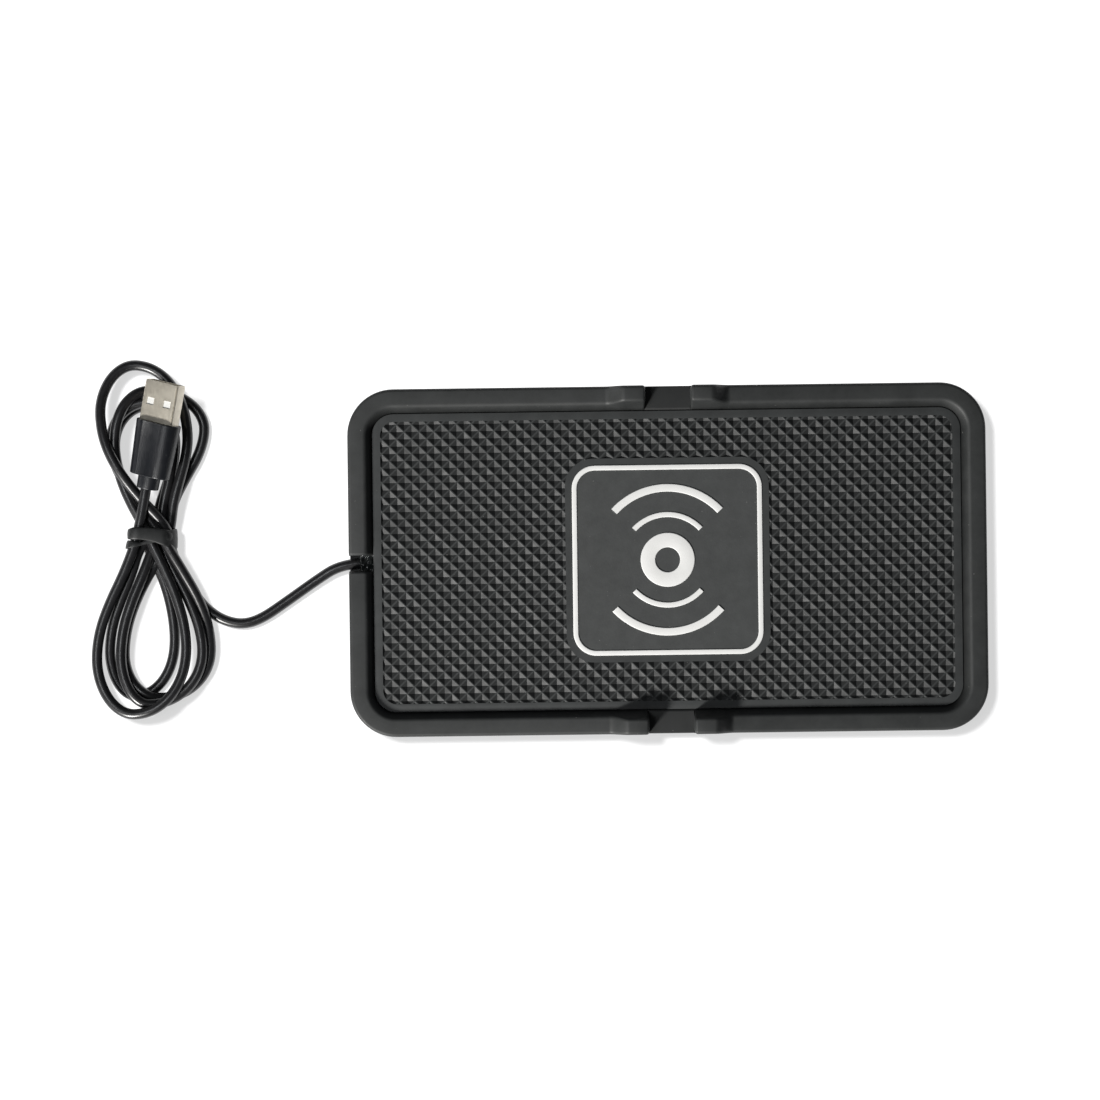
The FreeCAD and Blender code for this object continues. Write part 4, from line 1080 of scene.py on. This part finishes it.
def make_shell():
    """The folded sheet shell, open at its tip, with latch windows and the fold's seam."""
    start = GRIP_LENGTH - 0.5 * MM
    tip = GRIP_LENGTH + SHELL_LENGTH
    outer = 0.45 * MM
    lip = 0.12 * MM
    rings = [shell_ring(start, 0, outer), shell_ring(tip - 0.9 * MM, 0, outer),
             shell_ring(tip - lip, 0.08 * MM, outer), shell_ring(tip, 0.08 * MM + lip, outer - lip),
             shell_ring(tip - lip, SHELL_WALL, outer - SHELL_WALL),
             shell_ring(start + 1 * MM, SHELL_WALL, outer - SHELL_WALL)]
    shell = mesh_object("plug_shell", *loft(rings), STEEL, sharp=25)
    for side in (1, -1):
        boolean(shell, plug_block("latch", LATCH_START, side * LATCH_OFFSET, 0,
                                  LATCH_LENGTH, LATCH_WIDTH, SHELL_THICKNESS + 1 * MM))
    boolean(shell, plug_block("seam", start - 1 * MM, SEAM_OFFSET, SHELL_THICKNESS / 2 - 0.05 * MM,
                              SHELL_LENGTH + 3 * MM, SEAM_WIDTH, 0.5 * MM))
    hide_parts("usb_shell")
    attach(shell, "root")
    return shell


# ------------------------------------------------------- sealant and underside


def make_sealant():
    """The glossy bead that holds the cable in the notch: lumpy, and risen round the cable."""
    low = node_box("glue_bead")[0]
    columns, rows = 34, 26
    start, end = low.x - 0.1 * MM, -HALF_LENGTH + RIM_WIDTH + 0.25 * MM
    half = NOTCH_WIDTH / 2 + 0.05 * MM
    rings = []
    for column in range(columns + 1):
        t = column / columns
        x = start + (end - start) * t
        round_off = math.sqrt(max(0.0, 1 - (1 - min(1, t * 6)) ** 2))
        ring = [(x, half, FLOOR_TOP), (x, -half, FLOOR_TOP)]
        for row in range(rows + 1):
            s = -1 + 2 * row / rows
            y = half * s
            lump = (0.22 * math.sin(9 * t + 2.1 * s) + 0.16 * math.sin(17 * t - 5 * s + 1)) * MM
            hump = 0.75 * MM * math.exp(-((s * half) / (1.3 * MM)) ** 2)
            meniscus = 0.5 * MM * abs(s) ** 6
            z = FLOOR_TOP + 0.3 * MM + round_off * (3.15 * MM + hump + meniscus + lump)
            ring.append((x, y, z))
        rings.append(ring)
    bead = mesh_object("sealant_bead", *loft(rings), SEALANT, sharp=70)
    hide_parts("glue_bead")
    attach(bead, "root")


def make_sheet():
    """The soft gripping sheet under the mat."""
    rings = plate_rings(sheet_high.x, sheet_high.y, SHEET_CORNER, -sheet_high.z, 0, 0.15 * MM, 12)
    rings = [[(x, y, -z) for x, y, z in ring] for ring in rings]
    sheet = mesh_object("grip_layer", *loft(rings), GEL, sharp=30)
    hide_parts("grip_sheet")
    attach(sheet, "root")


# --------------------------------------------------------------- CAD pieces kept

KEPT = {
    "emblem_plate": PLATE, "module_base": HOUSING, "module_cover": HOUSING, "module_screws": SCREWS,
    "ferrite_sheet": FERRITE, "transmit_coil": COPPER, "coil_leads": COPPER,
    "circuit_board": BOARD, "controller_chip": CHIP, "bridge_transistors": CHIP,
    "resonance_capacitors": CERAMIC, "filter_inductor": FERRITE, "chip_resistors": CHIP,
    "cord_inner_run": JACKET, "cord_wires": CORES, "usb_tongue": TONGUE, "usb_contacts": GOLD,
}


def finish_kept_nodes():
    """Give the CAD nodes that stay their materials."""
    for name, finish in KEPT.items():
        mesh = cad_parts[name].data
        mesh.materials.clear()
        mesh.materials.append(finish)


# ------------------------------------------------------------------- build all

make_camera()
make_studio()
laid_route, pile_ranks, tied_points = hank_route()
route = settle(laid_route, pile_ranks, tied_points)
cord = make_cord(route)
centreline = spline_weights(len(route), 6) @ route
tie = make_tie(centreline)
grip = make_grip()
shell = make_shell()
make_tray()
make_insert()
make_emblem()
make_sealant()
make_sheet()
finish_kept_nodes()
